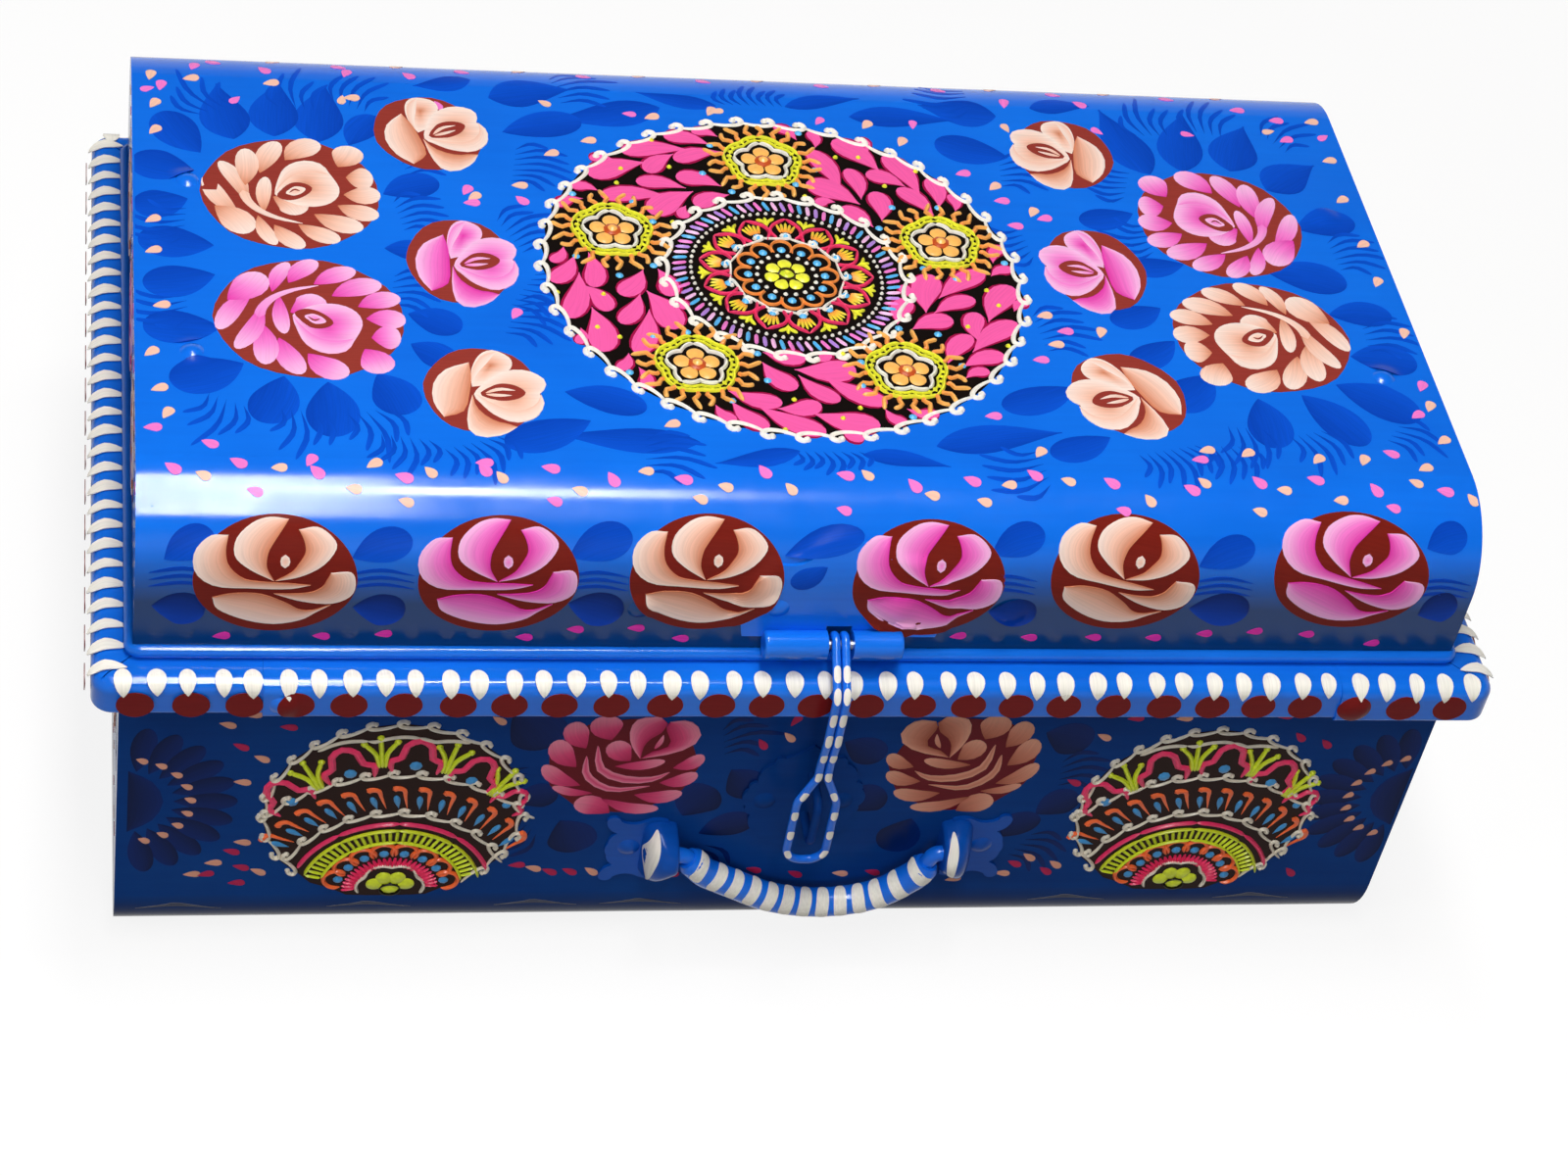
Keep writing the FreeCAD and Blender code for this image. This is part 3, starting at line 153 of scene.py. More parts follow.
brushShapes = {  # half width along a mark, from where the brush lands to where it leaves
    "drop": lambda t: np.where(t < 0.68, np.sin(np.minimum(t / 0.68, 1) * math.pi / 2) ** 1.25,
                               np.sqrt(np.clip(1 - ((t - 0.68) / 0.32) ** 2, 0, 1))),
    "petal": lambda t: np.where(t < 0.6, np.sin(np.minimum(t / 0.6, 1) * math.pi / 2) ** 0.85,
                                np.sqrt(np.clip(1 - ((t - 0.6) / 0.4) ** 2, 0, 1))),
    "leaf": lambda t: np.sin(np.clip(t, 0, 1) ** 0.85 * math.pi) ** 0.75,
    "pointed": lambda t: np.sin(np.clip(t, 0, 1) ** 0.7 * math.pi) ** 1.15,
    "round": lambda t: np.sqrt(np.clip(1 - (2 * t - 1) ** 2, 0, 1)),
    "dash": lambda t: np.sqrt(np.clip(1 - np.abs(2 * t - 1) ** 4, 0, 1)),
    "tail": lambda t: (1 - t) ** 0.6 * np.sqrt(np.clip(t * 12, 0, 1)),
    "curl": lambda t: (1 - t) ** 0.35 * np.sqrt(np.clip(t * 12, 0, 1)),
    "even": lambda t: np.minimum(1, np.sqrt(np.clip(np.minimum(t, 1 - t) * 9, 0, 1))),
}


def onCircle(degrees, reach, centre=(0, 0)):
    a = math.radians(degrees)
    return centre[0] + reach * math.cos(a), centre[1] + reach * math.sin(a)


def seat(centre=(0, 0), turn=0.0, grow=(1, 1)):  # where a motif is set down on its sheet
    c, s = math.cos(math.radians(turn)), math.sin(math.radians(turn))
    spin = np.array([[c, s], [-s, c]])
    return lambda flat: (np.asarray(flat, float) * np.array(grow)) @ spin + np.array(centre)


atHome = seat()


def shadeMix(shades, share):
    share = np.clip(share, 0, 1)[:, None]
    colours = [np.array(tone(pot[s])) for s in shades]
    if len(colours) == 1:
        return np.repeat(colours[0][None, :], len(share), 0)
    if len(colours) == 2:
        return colours[0] * (1 - share) + colours[1] * share
    low = np.clip(share * 2, 0, 1)
    high = np.clip(share * 2 - 1, 0, 1)
    return (colours[0] * (1 - low) + colours[1] * low) * (1 - high) + colours[2] * high


marks = {"count": 0, "sink": -0.12, "lift": 0.0026, "levels": 13}


def filmHeights(blank, coat, dome):  # no two overlapping marks lie at the very same height
    lift = marks["lift"] * (marks["count"] % marks["levels"])
    return np.where(blanks[blank]["top"], coat + lift + dome, marks["sink"])


# A mark along a line: heel to tip, with its width and its two-colour load.
def stroke(film, sheet, points, width, shape="drop", shades=("white",), coat=0.2, dome=0.0,
           place=atHome, blank="petal", load="length"):
    flat = blanks[blank]["flat"]
    t = (flat[:, 0] + 1) / 2
    t = 0.5 - 0.5 * np.cos(t * math.pi) if shape not in ("tail", "curl") else t
    v = flat[:, 1]
    line = throughCurve(points, t)
    ahead = throughCurve(points, np.minimum(t + 0.01, 1)) - throughCurve(points, np.maximum(t - 0.01, 0))
    ahead /= np.maximum(np.linalg.norm(ahead, axis=1), 1e-9)[:, None]
    side = np.stack([-ahead[:, 1], ahead[:, 0]], 1)
    half = width / 2 * np.maximum(brushShapes[shape](t), 0.04)
    spots = place(line + side * (v * half)[:, None])
    long = np.linalg.norm(np.diff(np.asarray(points, float), axis=0), axis=1).sum()
    swell = np.sqrt(np.clip(1 - v ** 2, 0, 1)) * np.minimum(1, half / (width / 2 + 1e-9))
    share = {"length": (1 - t) ** 1.15, "side": (v + 1) / 2, "rim": 1 - np.abs(v)}[load]
    marks["count"] += 1
    grains = np.stack([t * long, v * half, np.full(len(t), marks["count"] * 1.7)], 1)
    lay(film, blank, sheet, spots, filmHeights(blank, coat, dome * swell), shadeMix(shades, share), grains)


# A mark between two edges: the pale side of the brush follows the outer edge.
def sweep(film, sheet, outer, inner, shades, coat=0.2, place=atHome, blank="petal", bias=0.75):
    flat = blanks[blank]["flat"]
    t = (1 - np.cos((flat[:, 0] + 1) / 2 * math.pi)) / 2
    w = (flat[:, 1] + 1) / 2
    a, b = throughCurve(outer, t), throughCurve(inner, t)
    gap = b - a
    gap[np.linalg.norm(gap, axis=1) < 0.05] = [0.03, 0.02]  # the tips keep a trace of width
    spots = place(a + gap * w[:, None])
    marks["count"] += 1
    grains = np.stack([t * 20, w * 8, np.full(len(t), marks["count"] * 1.7)], 1)
    lay(film, blank, sheet, spots, filmHeights(blank, coat, 0), shadeMix(shades, w ** bias), grains)


# A blot round a centre: the outline is given, pale at the rim and full at the heart.
def blot(film, sheet, outline, shades, coat=0.2, dome=0.0, place=atHome, blank="blot", heart=None, bias=1.0):
    flat = blanks[blank]["flat"]
    reach = np.linalg.norm(flat, axis=1)
    angle = np.arctan2(flat[:, 1], flat[:, 0])
    p = np.asarray(outline, float)
    centre = np.asarray(heart, float) if heart is not None else p.mean(0)
    loop = np.vstack([p, p[:2]])
    loop = throughCurve(np.vstack([p[-1], loop]), np.linspace(0, 1, 40 * len(p)))
    away = loop - centre
    turns = np.arctan2(away[:, 1], away[:, 0])
    order = np.argsort(turns)
    edge = np.interp(angle, turns[order], np.linalg.norm(away, axis=1)[order], period=2 * math.pi)
    spots = place(centre + np.stack([np.cos(angle), np.sin(angle)], 1) * (reach * edge)[:, None])
    marks["count"] += 1
    grains = np.stack([spots[:, 0], spots[:, 1], np.full(len(spots), marks["count"] * 1.7)], 1)
    heights = filmHeights(blank, coat, dome * np.sqrt(np.clip(1 - reach ** 2, 0, 1)))
    lay(film, blank, sheet, spots, heights, shadeMix(shades, (1 - reach) ** bias), grains)


def oval(width, height, lobes=0, depth=0.0, count=24, lean=0.0):
    turns = [2 * math.pi * k / count for k in range(count)]
    return [(width / 2 * (1 + depth * math.cos(lobes * a + lean)) * math.cos(a),
             height / 2 * (1 + depth * math.cos(lobes * a + lean)) * math.sin(a)) for a in turns]


eightPoints = ((1, 0), (0.7, 0.7), (0, 1), (-0.7, 0.7), (-1, 0), (-0.7, -0.7), (0, -1), (0.7, -0.7))


def dot(film, sheet, at, size, shade, dome=0.5, place=atHome, coat=0.2):
    blot(film, sheet, [(at[0] + x * size / 2, at[1] + y * size / 2) for x, y in eightPoints],
         (shade,), coat=coat, dome=dome, place=place, blank="bud", heart=at)


# The trunk's painted sheets: each turns flat paint places in millimetres into points and normals.
lidLow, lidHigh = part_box("lid_wrap")
bodyLow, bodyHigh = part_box("body_wrap")
trunk = {
    "lidFace": -lidLow.y / mm, "lidTop": lidHigh.z / mm, "bodyFace": -bodyLow.y / mm,
    "lidFoot": 127.7, "bend": 25.4, "lidEnd": lidHigh.x / mm, "bodyEnd": bodyHigh.x / mm,
    "crease": 63.4, "backFoot": 296, "lidReach": 190.1, "bodyReach": 193.5,  # lengths along the sheets
}


def skinOf(*names):  # the hard surface of some pieces, for marks that run up over fittings
    points, faces, start = [], [], 0
    for name in names:
        mesh = nodes[name].data
        points += [v.co.copy() for v in mesh.vertices]
        faces += [tuple(start + k for k in p.vertices) for p in mesh.polygons]
        start = len(points)
    return BVHTree.FromPolygons(points, faces)


def settle(skin, places, normals, zone, reach=5.0, spread=0.0):
    around = [(0, 0, 0)]
    if spread:  # a thick coat runs over each step and down a gentle ramp behind it
        around += [(r * math.cos(a), r * math.sin(a), 0.36 * max(0, r - 1.7))
                   for a in np.arange(0, 6.2, math.pi / 6) for r in np.arange(0.8, spread + 0.1, 0.8)]
    for k in np.nonzero(zone)[0]:
        n = Vector(normals[k])
        side = Vector((1, 0, 0))
        up = n.cross(side)
        height = 0.0
        for a, b, drop in around:
            start = Vector(places[k]) * mm + (n * reach + side * a + up * b) * mm
            hit = skin.ray_cast(start, -n, reach * mm)
            if hit[0] is not None:
                height = max(height, reach - hit[3] / mm - drop)
        places[k] += np.array(n) * height
    return places, normals


lidFittings = skinOf("hasp_plate", "hasp_plate_rivets", "lid_front_rivets", "lid_end_rivets")
lidZones = [  # where the paint runs over fittings: from x and length, to x and length
    (-33, 8, 42, 46), (-64, 6, -42, 28), (42, 6, 64, 28),
    (-180, 100, -170, 112), (170, 100, 180, 112), (-180, 176, -170, 188), (170, 176, 180, 188),
]


def lidSheet(flat):  # across, and the length up the front, over the bend and to the back
    x, s = np.clip(flat[:, 0], -trunk["lidReach"], trunk["lidReach"]), flat[:, 1]
    r, face, foot = trunk["bend"], trunk["lidFace"], trunk["lidFoot"]
    rise = trunk["lidTop"] - r - foot
    arc = r * math.pi / 2
    run = 2 * (face - r)
    one = np.clip((s - rise) / r, 0, math.pi / 2)
    two = np.clip((s - rise - arc - run) / r, 0, math.pi / 2)
    flatRun = np.clip(s - rise - arc, 0, run)
    y = -face + r - r * np.cos(one) + flatRun + r * np.sin(two)
    drop = r * (1 - np.cos(two)) + np.maximum(s - rise - 2 * arc - run, 0)
    z = foot + np.minimum(s, rise) + r * np.sin(one) - drop
    front = s < rise + arc + run / 2
    ny = np.where(front, -np.cos(one), np.sin(two))
    nz = np.where(front, np.sin(one), np.cos(two))
    places = np.stack([x, y, z], 1)
    normals = np.stack([0 * x, ny, nz], 1)
    zone = np.zeros(len(x), bool)
    for x0, s0, x1, s1 in lidZones:
        zone |= (x > x0) & (x < x1) & (s > s0) & (s < s1)
    return settle(lidFittings, places, normals, zone, 3.0, 4.8)


def lidTop(flat):  # x and y on the flat top
    return lidSheet(flat + np.array([0, trunk["lidFace"] - trunk["bend"] + trunk["crease"]]))


def lidBack(flat):
    return lidSheet(np.stack([-flat[:, 0], trunk["backFoot"] - flat[:, 1]], 1))


def bodySheet(flat):
    x, z = np.clip(flat[:, 0], -trunk["bodyReach"], trunk["bodyReach"]), flat[:, 1]
    r, face = trunk["bend"], trunk["bodyFace"]
    t = np.clip((r - z) / r, 0, math.pi / 2)
    places = np.stack([x, -face + r - r * np.cos(t), np.where(z > r, z, r - r * np.sin(t))], 1)
    return places, np.stack([0 * x, -np.cos(t), -np.sin(t)], 1)


def bodyBack(flat):
    places, normals = bodySheet(flat)
    return places * [-1, -1, 1], normals * [-1, -1, 1]


def endSheet(side, reach):  # along the end from the middle, and up
    def sheet(flat):
        a, b = flat[:, 0], flat[:, 1]
        return (np.stack([side * reach + 0 * a, side * a, b], 1),
                np.stack([side + 0 * a, 0 * a, 0 * a], 1))

    return sheet


rimSkin = skinOf("rim_front", "rim_back", "rim_left", "rim_right", "rim_rivets")
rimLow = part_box("rim_front")[0]
rim = {"foot": rimLow.z / mm, "edge": 4.0, "rise": 9.0,
       "front": 122.15, "back": 122.15, "left": 201.9, "right": 203.2}  # how far out each face stands


def rimSheet(way):  # along the strip, and up its face, round its edge and inwards
    face = rim[way]

    def sheet(flat):
        a, b = flat[:, 0], flat[:, 1]
        r, rise = rim["edge"], rim["rise"]
        t = np.clip((b - rise) / r, 0, math.pi / 2)
        out = face - r + r * np.cos(t) - np.maximum(b - rise - r * math.pi / 2, 0)
        z = rim["foot"] + np.minimum(b, rise) + r * np.sin(t)
        outN, upN = np.cos(t), np.sin(t)
        side = -1 if way in ("front", "left") else 1
        if way in ("front", "back"):
            places, normals = np.stack([-side * a, side * out, z], 1), np.stack([0 * a, side * outN, upN], 1)
        else:
            places, normals = np.stack([side * out, side * a, z], 1), np.stack([side * outN, 0 * a, upN], 1)
        return settle(rimSkin, places, normals, np.ones(len(a), bool), 3.0, 1.6)

    return sheet


# Roses: traditional double-loaded brush roses, each kind drawn once and set down in one of four loads.
roseLoads = {
    "pink": ("pinkPale", "pink", "pinkDeep"), "peach": ("peachPale", "peach", "peachDeep"),
    "rose": ("rosePale", "rose", "roseDeep"), "clay": ("clayPale", "clay", "clayDeep"),
}
greatRose = {
    "ground": (52, 51), "groundAt": (0, 0.5),
    "petals": [  # heel x, y, tip x, y, width, sideways bow
        (-14.5, 13.5, -19, 23.5, 9.5, 0.5), (1, 16, -9.5, 24.6, 8.6, -1.2), (8.6, 9.5, 3, 24.6, 7.0, -0.6),
        (13, 3.5, 12.6, 20.8, 7.0, 0.6), (12.6, -4, 20.2, 14.5, 5.6, 1.2), (15, -11.5, 24.8, 6.4, 6.0, -0.9),
        (22, -6.5, 12.6, -18.6, 9.8, -1.0), (9.8, -10.5, 5, -23.6, 4.8, 0.8), (5.2, -14.6, -3, -24.6, 6.2, 0.8),
        (-1.8, -14.2, -13.5, -21, 6.6, 0.6), (-6.6, -9.2, -20.5, -15, 7.6, 1.0),
        (-13.6, -4.8, -25.4, -9, 7.2, 0.8), (-15.6, 0.4, -26.2, 1.6, 8.2, 0.8),
        (-16.6, 8.6, -24.6, 8.4, 10.0, 0.2), (8, -8.8, 7, 7.6, 4.6, -0.4), (5, -1.6, -2.6, -9.4, 9.0, -1.4),
    ],
    "ribbon": [(13.8, 1), (12.6, -3.6), (9.4, -8), (4, -11.4), (-3, -13.6)],
    "cup": [(4.6, -0.2), (3.4, 6.6), (1.6, 11.6), (-1.6, 14.8), (-5.6, 15.9), (-9.8, 14.2), (-11.9, 9.8),
            (-13.2, 7.0), (-14.4, 3.0), (-13.6, -1.2), (-10.6, -4.4), (-6.2, -5.7), (-1.4, -4.9), (2.4, -2.6)],
    "fold": ([(-11.8, 9.2), (-9, 13.8), (-5.4, 15.6), (-1.4, 14.2), (1.6, 10.6), (4.6, 0)],
             [(-11.8, 9.2), (-8.4, 10.2), (-4.6, 10.2), (-0.8, 8.2), (2.0, 4.6), (4.6, 0)]),
    "eye": [(4.0, -0.8), (0.4, 4.4), (-3.4, 5.2), (-6.4, 3.0), (-5.0, 0.0), (-1.6, -2.6), (1.8, -3.0)],
    "iris": [(1.4, 0.2), (-1.2, 3.2), (-4.4, 2.6), (-3.4, 0.4), (-0.8, -1.0)],
}
smallRose = {
    "ground": (31, 38), "groundAt": (2.2, 0.6),
    "crown": [(4.4, -0.4), (5.6, 8), (4.0, 16), (0.4, 19.2), (-4.4, 16.4), (-4.8, 11.6), (-1.2, 7.6), (2.2, 3)],
    "cup": [(4.2, -1.4), (0.4, 5.8), (-4.2, 10.6), (-9.8, 11.4), (-14.2, 8.2), (-14.4, 4.2), (-13.0, 2.2),
            (-14.4, -2.0), (-12.8, -8.8), (-7.4, -12.2), (-1.8, -9.8), (2.0, -5.6)],
    "fold": ([(-13.6, 1.4), (-14.6, -3.6), (-12.2, -9.6), (-7.2, -12.0), (-1.4, -9.4), (3.8, -1.6)],
             [(-13.6, 1.4), (-12.4, -3.2), (-9.2, -6.4), (-5.4, -7.0), (-1.0, -5.0), (3.8, -1.6)]),
    "wing": ([(6.4, 12.4), (12.4, 8), (15.2, 1), (14.6, -7), (11.4, -13.2)],
             [(6.4, 12.4), (5.4, 6), (5.4, -2), (6.4, -9.6), (11.4, -13.2)]),
    "foot": ([(4.6, -1.8), (5.4, -11), (4.4, -18), (0.4, -20), (-4.8, -17.8), (-8, -14)],
             [(4.6, -1.8), (3.2, -7), (0.2, -10.8), (-2.8, -12.6), (-5.4, -13), (-8, -14)]),
    "eye": [(2.6, -1.4), (-1.4, 3.6), (-6.0, 4.2), (-9.4, 1.4), (-7.0, -2.0), (-2.2, -3.4)],
    "veil": ([(5.2, 3), (5.4, 9), (3.2, 16), (-0.6, 18.8)], [(5.2, 3), (3.8, 8), (1.6, 13), (-0.6, 18.8)]),
}
skirtRose = {
    "ground": (44, 38), "groundAt": (0.2, -0.2),
    "sweeps": [
        ([(-12.6, 13), (-17.6, 12.6), (-21.6, 8), (-21, 2), (-15.6, -2.2), (-6.6, -2.8), (3.4, -3), (9.6, -1.6)],
         [(-12.6, 13), (-13.2, 8.4), (-12.2, 4.2), (-8.6, 0.6), (-4.6, -0.4), (0, -0.8), (3.6, -1), (9.6, -1.6)]),
        ([(-0.2, -0.2), (-6.8, 3.4), (-10.8, 7.2), (-10.4, 12.2), (-6.2, 16.4), (-1.6, 17.9), (3.4, 17.4)],
         [(-0.2, -0.2), (-2.2, 4), (-2, 8), (-0.8, 10.6), (0.8, 13.2), (2.2, 15.4), (3.4, 17.4)]),
        ([(0.2, -0.2), (6.6, 1.2), (12.6, 4.6), (16.2, 9.6), (15, 12.8), (11, 15.4), (6, 14.6)],
         [(0.2, -0.2), (4.4, 2.6), (6.4, 5.4), (7.8, 8), (7.9, 10), (7.2, 12.4), (6, 14.6)]),
        ([(0, -4.8), (7.6, -7.6), (15.6, -8.4), (20.6, -5.6), (21.8, -1), (20.4, 2.6), (15, 2.4)],
         [(0, -4.8), (5.4, -4.8), (9.8, -4.2), (12.2, -2.8), (13.2, -1.6), (14, 0.2), (15, 2.4)]),
        ([(-16.4, -6.4), (-14.8, -10.8), (-7.6, -14.8), (0.4, -16.4), (7.6, -14.8), (11.6, -11.8), (15.4, -9)],
         [(-16.4, -6.4), (-10.8, -4.8), (-3.6, -5), (2.8, -8), (7, -10.8), (10.6, -11), (15.4, -9)]),
    ],
    "drop": (2.6, 5.8),
}
bodyRose = {
    "ground": (44, 40), "groundAt": (-0.4, -0.8),
    "petals": [
        (-12, 7, -16, 18, 7.4, 1.2), (-5, 10.5, -7.5, 20.5, 9.4, 0.6), (-14, -1, -20.4, 10.4, 7.2, 1.4),
        (-12, -9, -23.4, -0.4, 5.6, 1.6), (-8, -12.4, -20, -9.6, 3.2, 1.0), (-2, -21, -12.8, -16.6, 8.0, -1.0),
        (-5, -15, 12.4, -19.4, 4.4, -1.8), (4.5, -13.2, 18.6, -12.4, 5.2, -1.6), (11.4, -8, 22, -4, 5.2, -1.4),
        (14.6, -1.6, 22.8, 3.8, 5.0, -1.2), (1.6, 1.6, -3.6, 10, 7.4, 1.0), (-2.6, -0.8, 11.8, 1.4, 3.8, -0.8),
    ],
    "ribbons": [([(-11.4, 3.6), (-10.2, -5), (-2.6, -10.8), (8.6, -9.4)], 2.5),
                ([(-8.6, 8), (-6.6, -2), (0.8, -6.4), (8.8, -6.4), (13.8, -3.4)], 3.0)],
    "cups": [([(4.4, 2.4), (1.4, 7.6), (0, 13.6), (1.6, 19), (8, 20.4)],
              [(4.4, 2.4), (4.8, 7.6), (6.4, 11), (9.2, 13.6), (10.6, 17.4)]),
             ([(4.6, 2.6), (13, 4.6), (19, 8), (20.9, 12.6), (19.2, 16.6), (16, 18.6), (11.2, 18)],
              [(4.6, 2.6), (8, 5.8), (11.4, 7), (12.4, 10), (11.2, 13), (10.4, 15.6), (11.2, 18)])],
    "eye": (9.4, 9.6),
}


def bowed(x0, y0, x1, y1, bow):
    dx, dy = x1 - x0, y1 - y0
    long = math.hypot(dx, dy)
    return [(x0, y0), ((x0 + x1) / 2 - dy / long * bow, (y0 + y1) / 2 + dx / long * bow), (x1, y1)]


def brushes(film, sheet, place):  # the three tools, held over one film
    return [partial(tool, film, sheet, place=place) for tool in (stroke, sweep, blot)]


def paintGround(name, sheet, rose, place, lobes, depth, shade="ground"):
    (gx, gy), (w, h) = rose["groundAt"], rose["ground"]
    blot(name + "_grounds", sheet, [(x + gx, y + gy) for x, y in oval(w, h, lobes, depth)], (shade,),
         coat=0.10, place=place, heart=(gx, gy))


def paintGreatRose(name, sheet, colour, place):
    load = roseLoads[colour]
    paintGround(name, sheet, greatRose, place, 7, 0.012)
    line, fold, daub = brushes(name + "_petals", sheet, place)
    for x0, y0, x1, y1, width, bow in greatRose["petals"]:
        line(bowed(x0, y0, x1, y1, bow), width, "petal", load, 0.16)
    line(greatRose["ribbon"], 3.2, "tail", load[:2], 0.20, blank="leaf")
    daub(greatRose["cup"], load, 0.24, heart=(-4.6, 3.4), bias=1.1)
    fold(*greatRose["fold"], load[:2], coat=0.28, blank="leaf", bias=1.2)
    daub(greatRose["eye"], ("ground",), 0.32)
    daub(greatRose["iris"], load[:2], 0.36)
    line([(-2.8, 1.2), (-1.2, 1.8), (0.4, 0.2)], 0.7, "leaf", ("ground",), 0.40, blank="line")


def paintSmallRose(name, sheet, colour, place):
    load = roseLoads[colour]
    paintGround(name, sheet, smallRose, place, 6, 0.015)
    line, fold, daub = brushes(name + "_petals", sheet, place)
    daub(smallRose["crown"], load, 0.16, heart=(0.6, 12), bias=1.1)
    fold(*smallRose["veil"], (load[1], load[0]), coat=0.205, blank="leaf")
    fold(*smallRose["foot"], load, coat=0.16, blank="leaf")
    fold(*smallRose["wing"], load, coat=0.16, blank="leaf", bias=0.9)
    daub(smallRose["cup"], load, 0.245, heart=(-5.6, 0.2), bias=1.1)
    fold(*smallRose["fold"], load[:2], coat=0.285, blank="leaf", bias=1.3)
    daub(smallRose["eye"], ("ground",), 0.325)
    for points in ([(1.2, -0.8), (-2.4, 1.6), (-6.6, 1.8)], [(1.0, -1.4), (-2.2, -1.2), (-5.8, -0.6)]):
        line(points, 1.3, "leaf", load[:2], 0.365, blank="line")


def paintSkirtRose(name, sheet, colour, place):
    load = roseLoads[colour]
    (gx, gy), (w, h) = skirtRose["groundAt"], skirtRose["ground"]
    stroke(name + "_grounds", sheet, [(gx - w / 2, gy), (gx + w / 2, gy)], h, "round", ("shadeGround",), 0.08,
           place=place, blank="dense")
    fold, daub = brushes(name + "_petals", sheet, place)[1:]
    for outer, inner in skirtRose["sweeps"]:
        fold(outer, inner, load, coat=0.4, blank="dense", bias=0.95)
    x, y = skirtRose["drop"]
    daub([(x + a * 1.3, y + b * 1.9) for a, b in oval(2, 2, count=8)], load[:2], 0.5, blank="bud", heart=(x, y))


def paintBodyRose(name, sheet, colour, place):
    load = roseLoads[colour]
    paintGround(name, sheet, bodyRose, place, 9, 0.03, "plum")
    line, fold, daub = brushes(name + "_petals", sheet, place)
    for x0, y0, x1, y1, width, bow in bodyRose["petals"]:
        line(bowed(x0, y0, x1, y1, bow), width * 1.02, "petal", load, 0.16)
    for points, width in bodyRose["ribbons"]:
        line(points, width, "leaf", load[:2], 0.20, blank="leaf", load="rim")
    for outer, inner in bodyRose["cups"]:
        fold(outer, inner, load, coat=0.24, blank="leaf", bias=1.2)
    x, y = bodyRose["eye"]
    line([(x - 1.4, y - 2.8), (x, y), (x + 0.6, y + 3)], 1.5, "leaf", load[:2], 0.28, blank="line")


def leafMark(film, sheet, x0, y0, x1, y1, width, pointed=False, shades=("leafDeep", "leaf"), bow=0.8):
    stroke(film, sheet, bowed(x0, y0, x1, y1, bow), width, "pointed" if pointed else "petal", shades, 0.05,
           blank="wide" if width > 9 else "leaf", load="side")


comb = {"spread": 30, "curl": 2.4, "step": 2.6, "wide": 1.7}


def feathers(film, sheet, x, y, aim, count, long, shades=("leaf", "leafDeep")):
    c, d = math.cos(math.radians(aim)), math.sin(math.radians(aim))
    for k in range(count):  # a comb of thin brush lines that all lean the same way
        share = k / max(count - 1, 1) - 0.5
        aside = comb["step"] * share * (count - 1)
        heel = (x - d * aside, y + c * aside)
        reach = long * (1.15 - 0.9 * abs(share) + 0.12 * math.sin(k * 2.2 + x))
        line = bowed(*heel, *onCircle(aim + comb["spread"] * share, reach, heel), comb["curl"])
        stroke(film, sheet, line, comb["wide"], "drop", shades, 0.07, blank="line")


def fleck(film, sheet, x, y, shade, long=4.4, wide=2.7, turn=0.0):
    a = math.radians(turn)
    dx, dy = math.cos(a) * long / 2, math.sin(a) * long / 2
    line = [(x - dx, y - dy), (x + dx * 0.2, y + dy * 0.2 + 0.25), (x + dx, y + dy)]
    stroke(film, sheet, line, wide, "petal", (shade,), 0.16, blank="line")


# Lid top.
openFilms("lid_top_", "leaves flecks grounds petals", "lid", "lid_enamel")
topLeaves = [  # heel x, y, tip x, y, width, pointed
    (-136, 54, -133, 79, 13, 1), (-149, 56, -147, 80, 13, 1), (-161, 54, -165, 78, 13, 1),
    (-171, 47, -181, 64, 12, 0), (-173, 38, -189, 43, 12, 0), (-175, 25, -189, 22, 11, 0),
    (-168, 4, -187, 7, 12, 0), (-127, 53, -119, 66, 9, 0), (-118, 30, -103, 36, 10, 0),
    (-119, 5, -107, 3, 8, 0), (-168, -9, -186, -13, 12, 0), (-167, -32, -186, -31, 12, 0),
    (-161, -47, -179, -54, 13, 0), (-150, -52, -156, -69, 12, 0), (-138, -54, -138, -74, 13, 0),
    (-124, -50, -118, -65, 12, 0), (-114, -37, -104, -45, 9, 0), (-114, -24, -101, -30, 10, 0),
    (123, 52, 114, 81, 13, 1), (134, 54, 140, 81, 13, 1), (150, 55, 159, 76, 14, 1), (160, 46, 177, 58, 13, 1),
    (165, 27, 183, 31, 11, 0), (150, 6, 172, 1, 13, 0), (165, -14, 183, -14, 10, 0),
    (167, -33, 185, -36, 12, 0), (159, -46, 179, -59, 13, 0), (147, -51, 160, -70, 12, 0),
    (133, -53, 133, -72, 12, 0), (121, -43, 107, -56, 12, 0), (113, -28, 99, -38, 9, 0),
    (112, -13, 97, -19, 9, 0), (124, 8, 108, 6, 8, 0), (113, 32, 97, 28, 9, 0), (-83, 79, -60, 84, 12, 1),
    (-80, 62, -58, 68, 11, 0), (-66, -68, -88, -77, 11, 0), (-72, -56, -52, -62, 10, 0),
    (-36, -76, -72, -74, 9, 1), (78, 79, 56, 83, 12, 1), (78, 58, 58, 64, 12, 0), (84, -71, 67, -78, 9, 0),
    (78, -50, 57, -58, 10, 0), (32, -76, 66, -70, 10, 1), (30, 76, 60, 76, 9, 1), (-30, 77, -60, 70, 11, 1),
    (-12, 79, -34, 84, 6, 1), (10, 80, 32, 85, 6, 1), (-8, -79, -30, -84, 6, 1), (10, -80, 32, -84, 6, 1),
    (-88, 88, -104, 84, 7, 1), (90, 84, 108, 86, 7, 1),
]
for x0, y0, x1, y1, width, pointed in topLeaves:
    x2, y2 = x1 + 0.12 * (x1 - x0), y1 + 0.12 * (y1 - y0)
    leafMark("lid_top_leaves", lidTop, x0, y0, x2, y2, width * 1.15, bool(pointed))
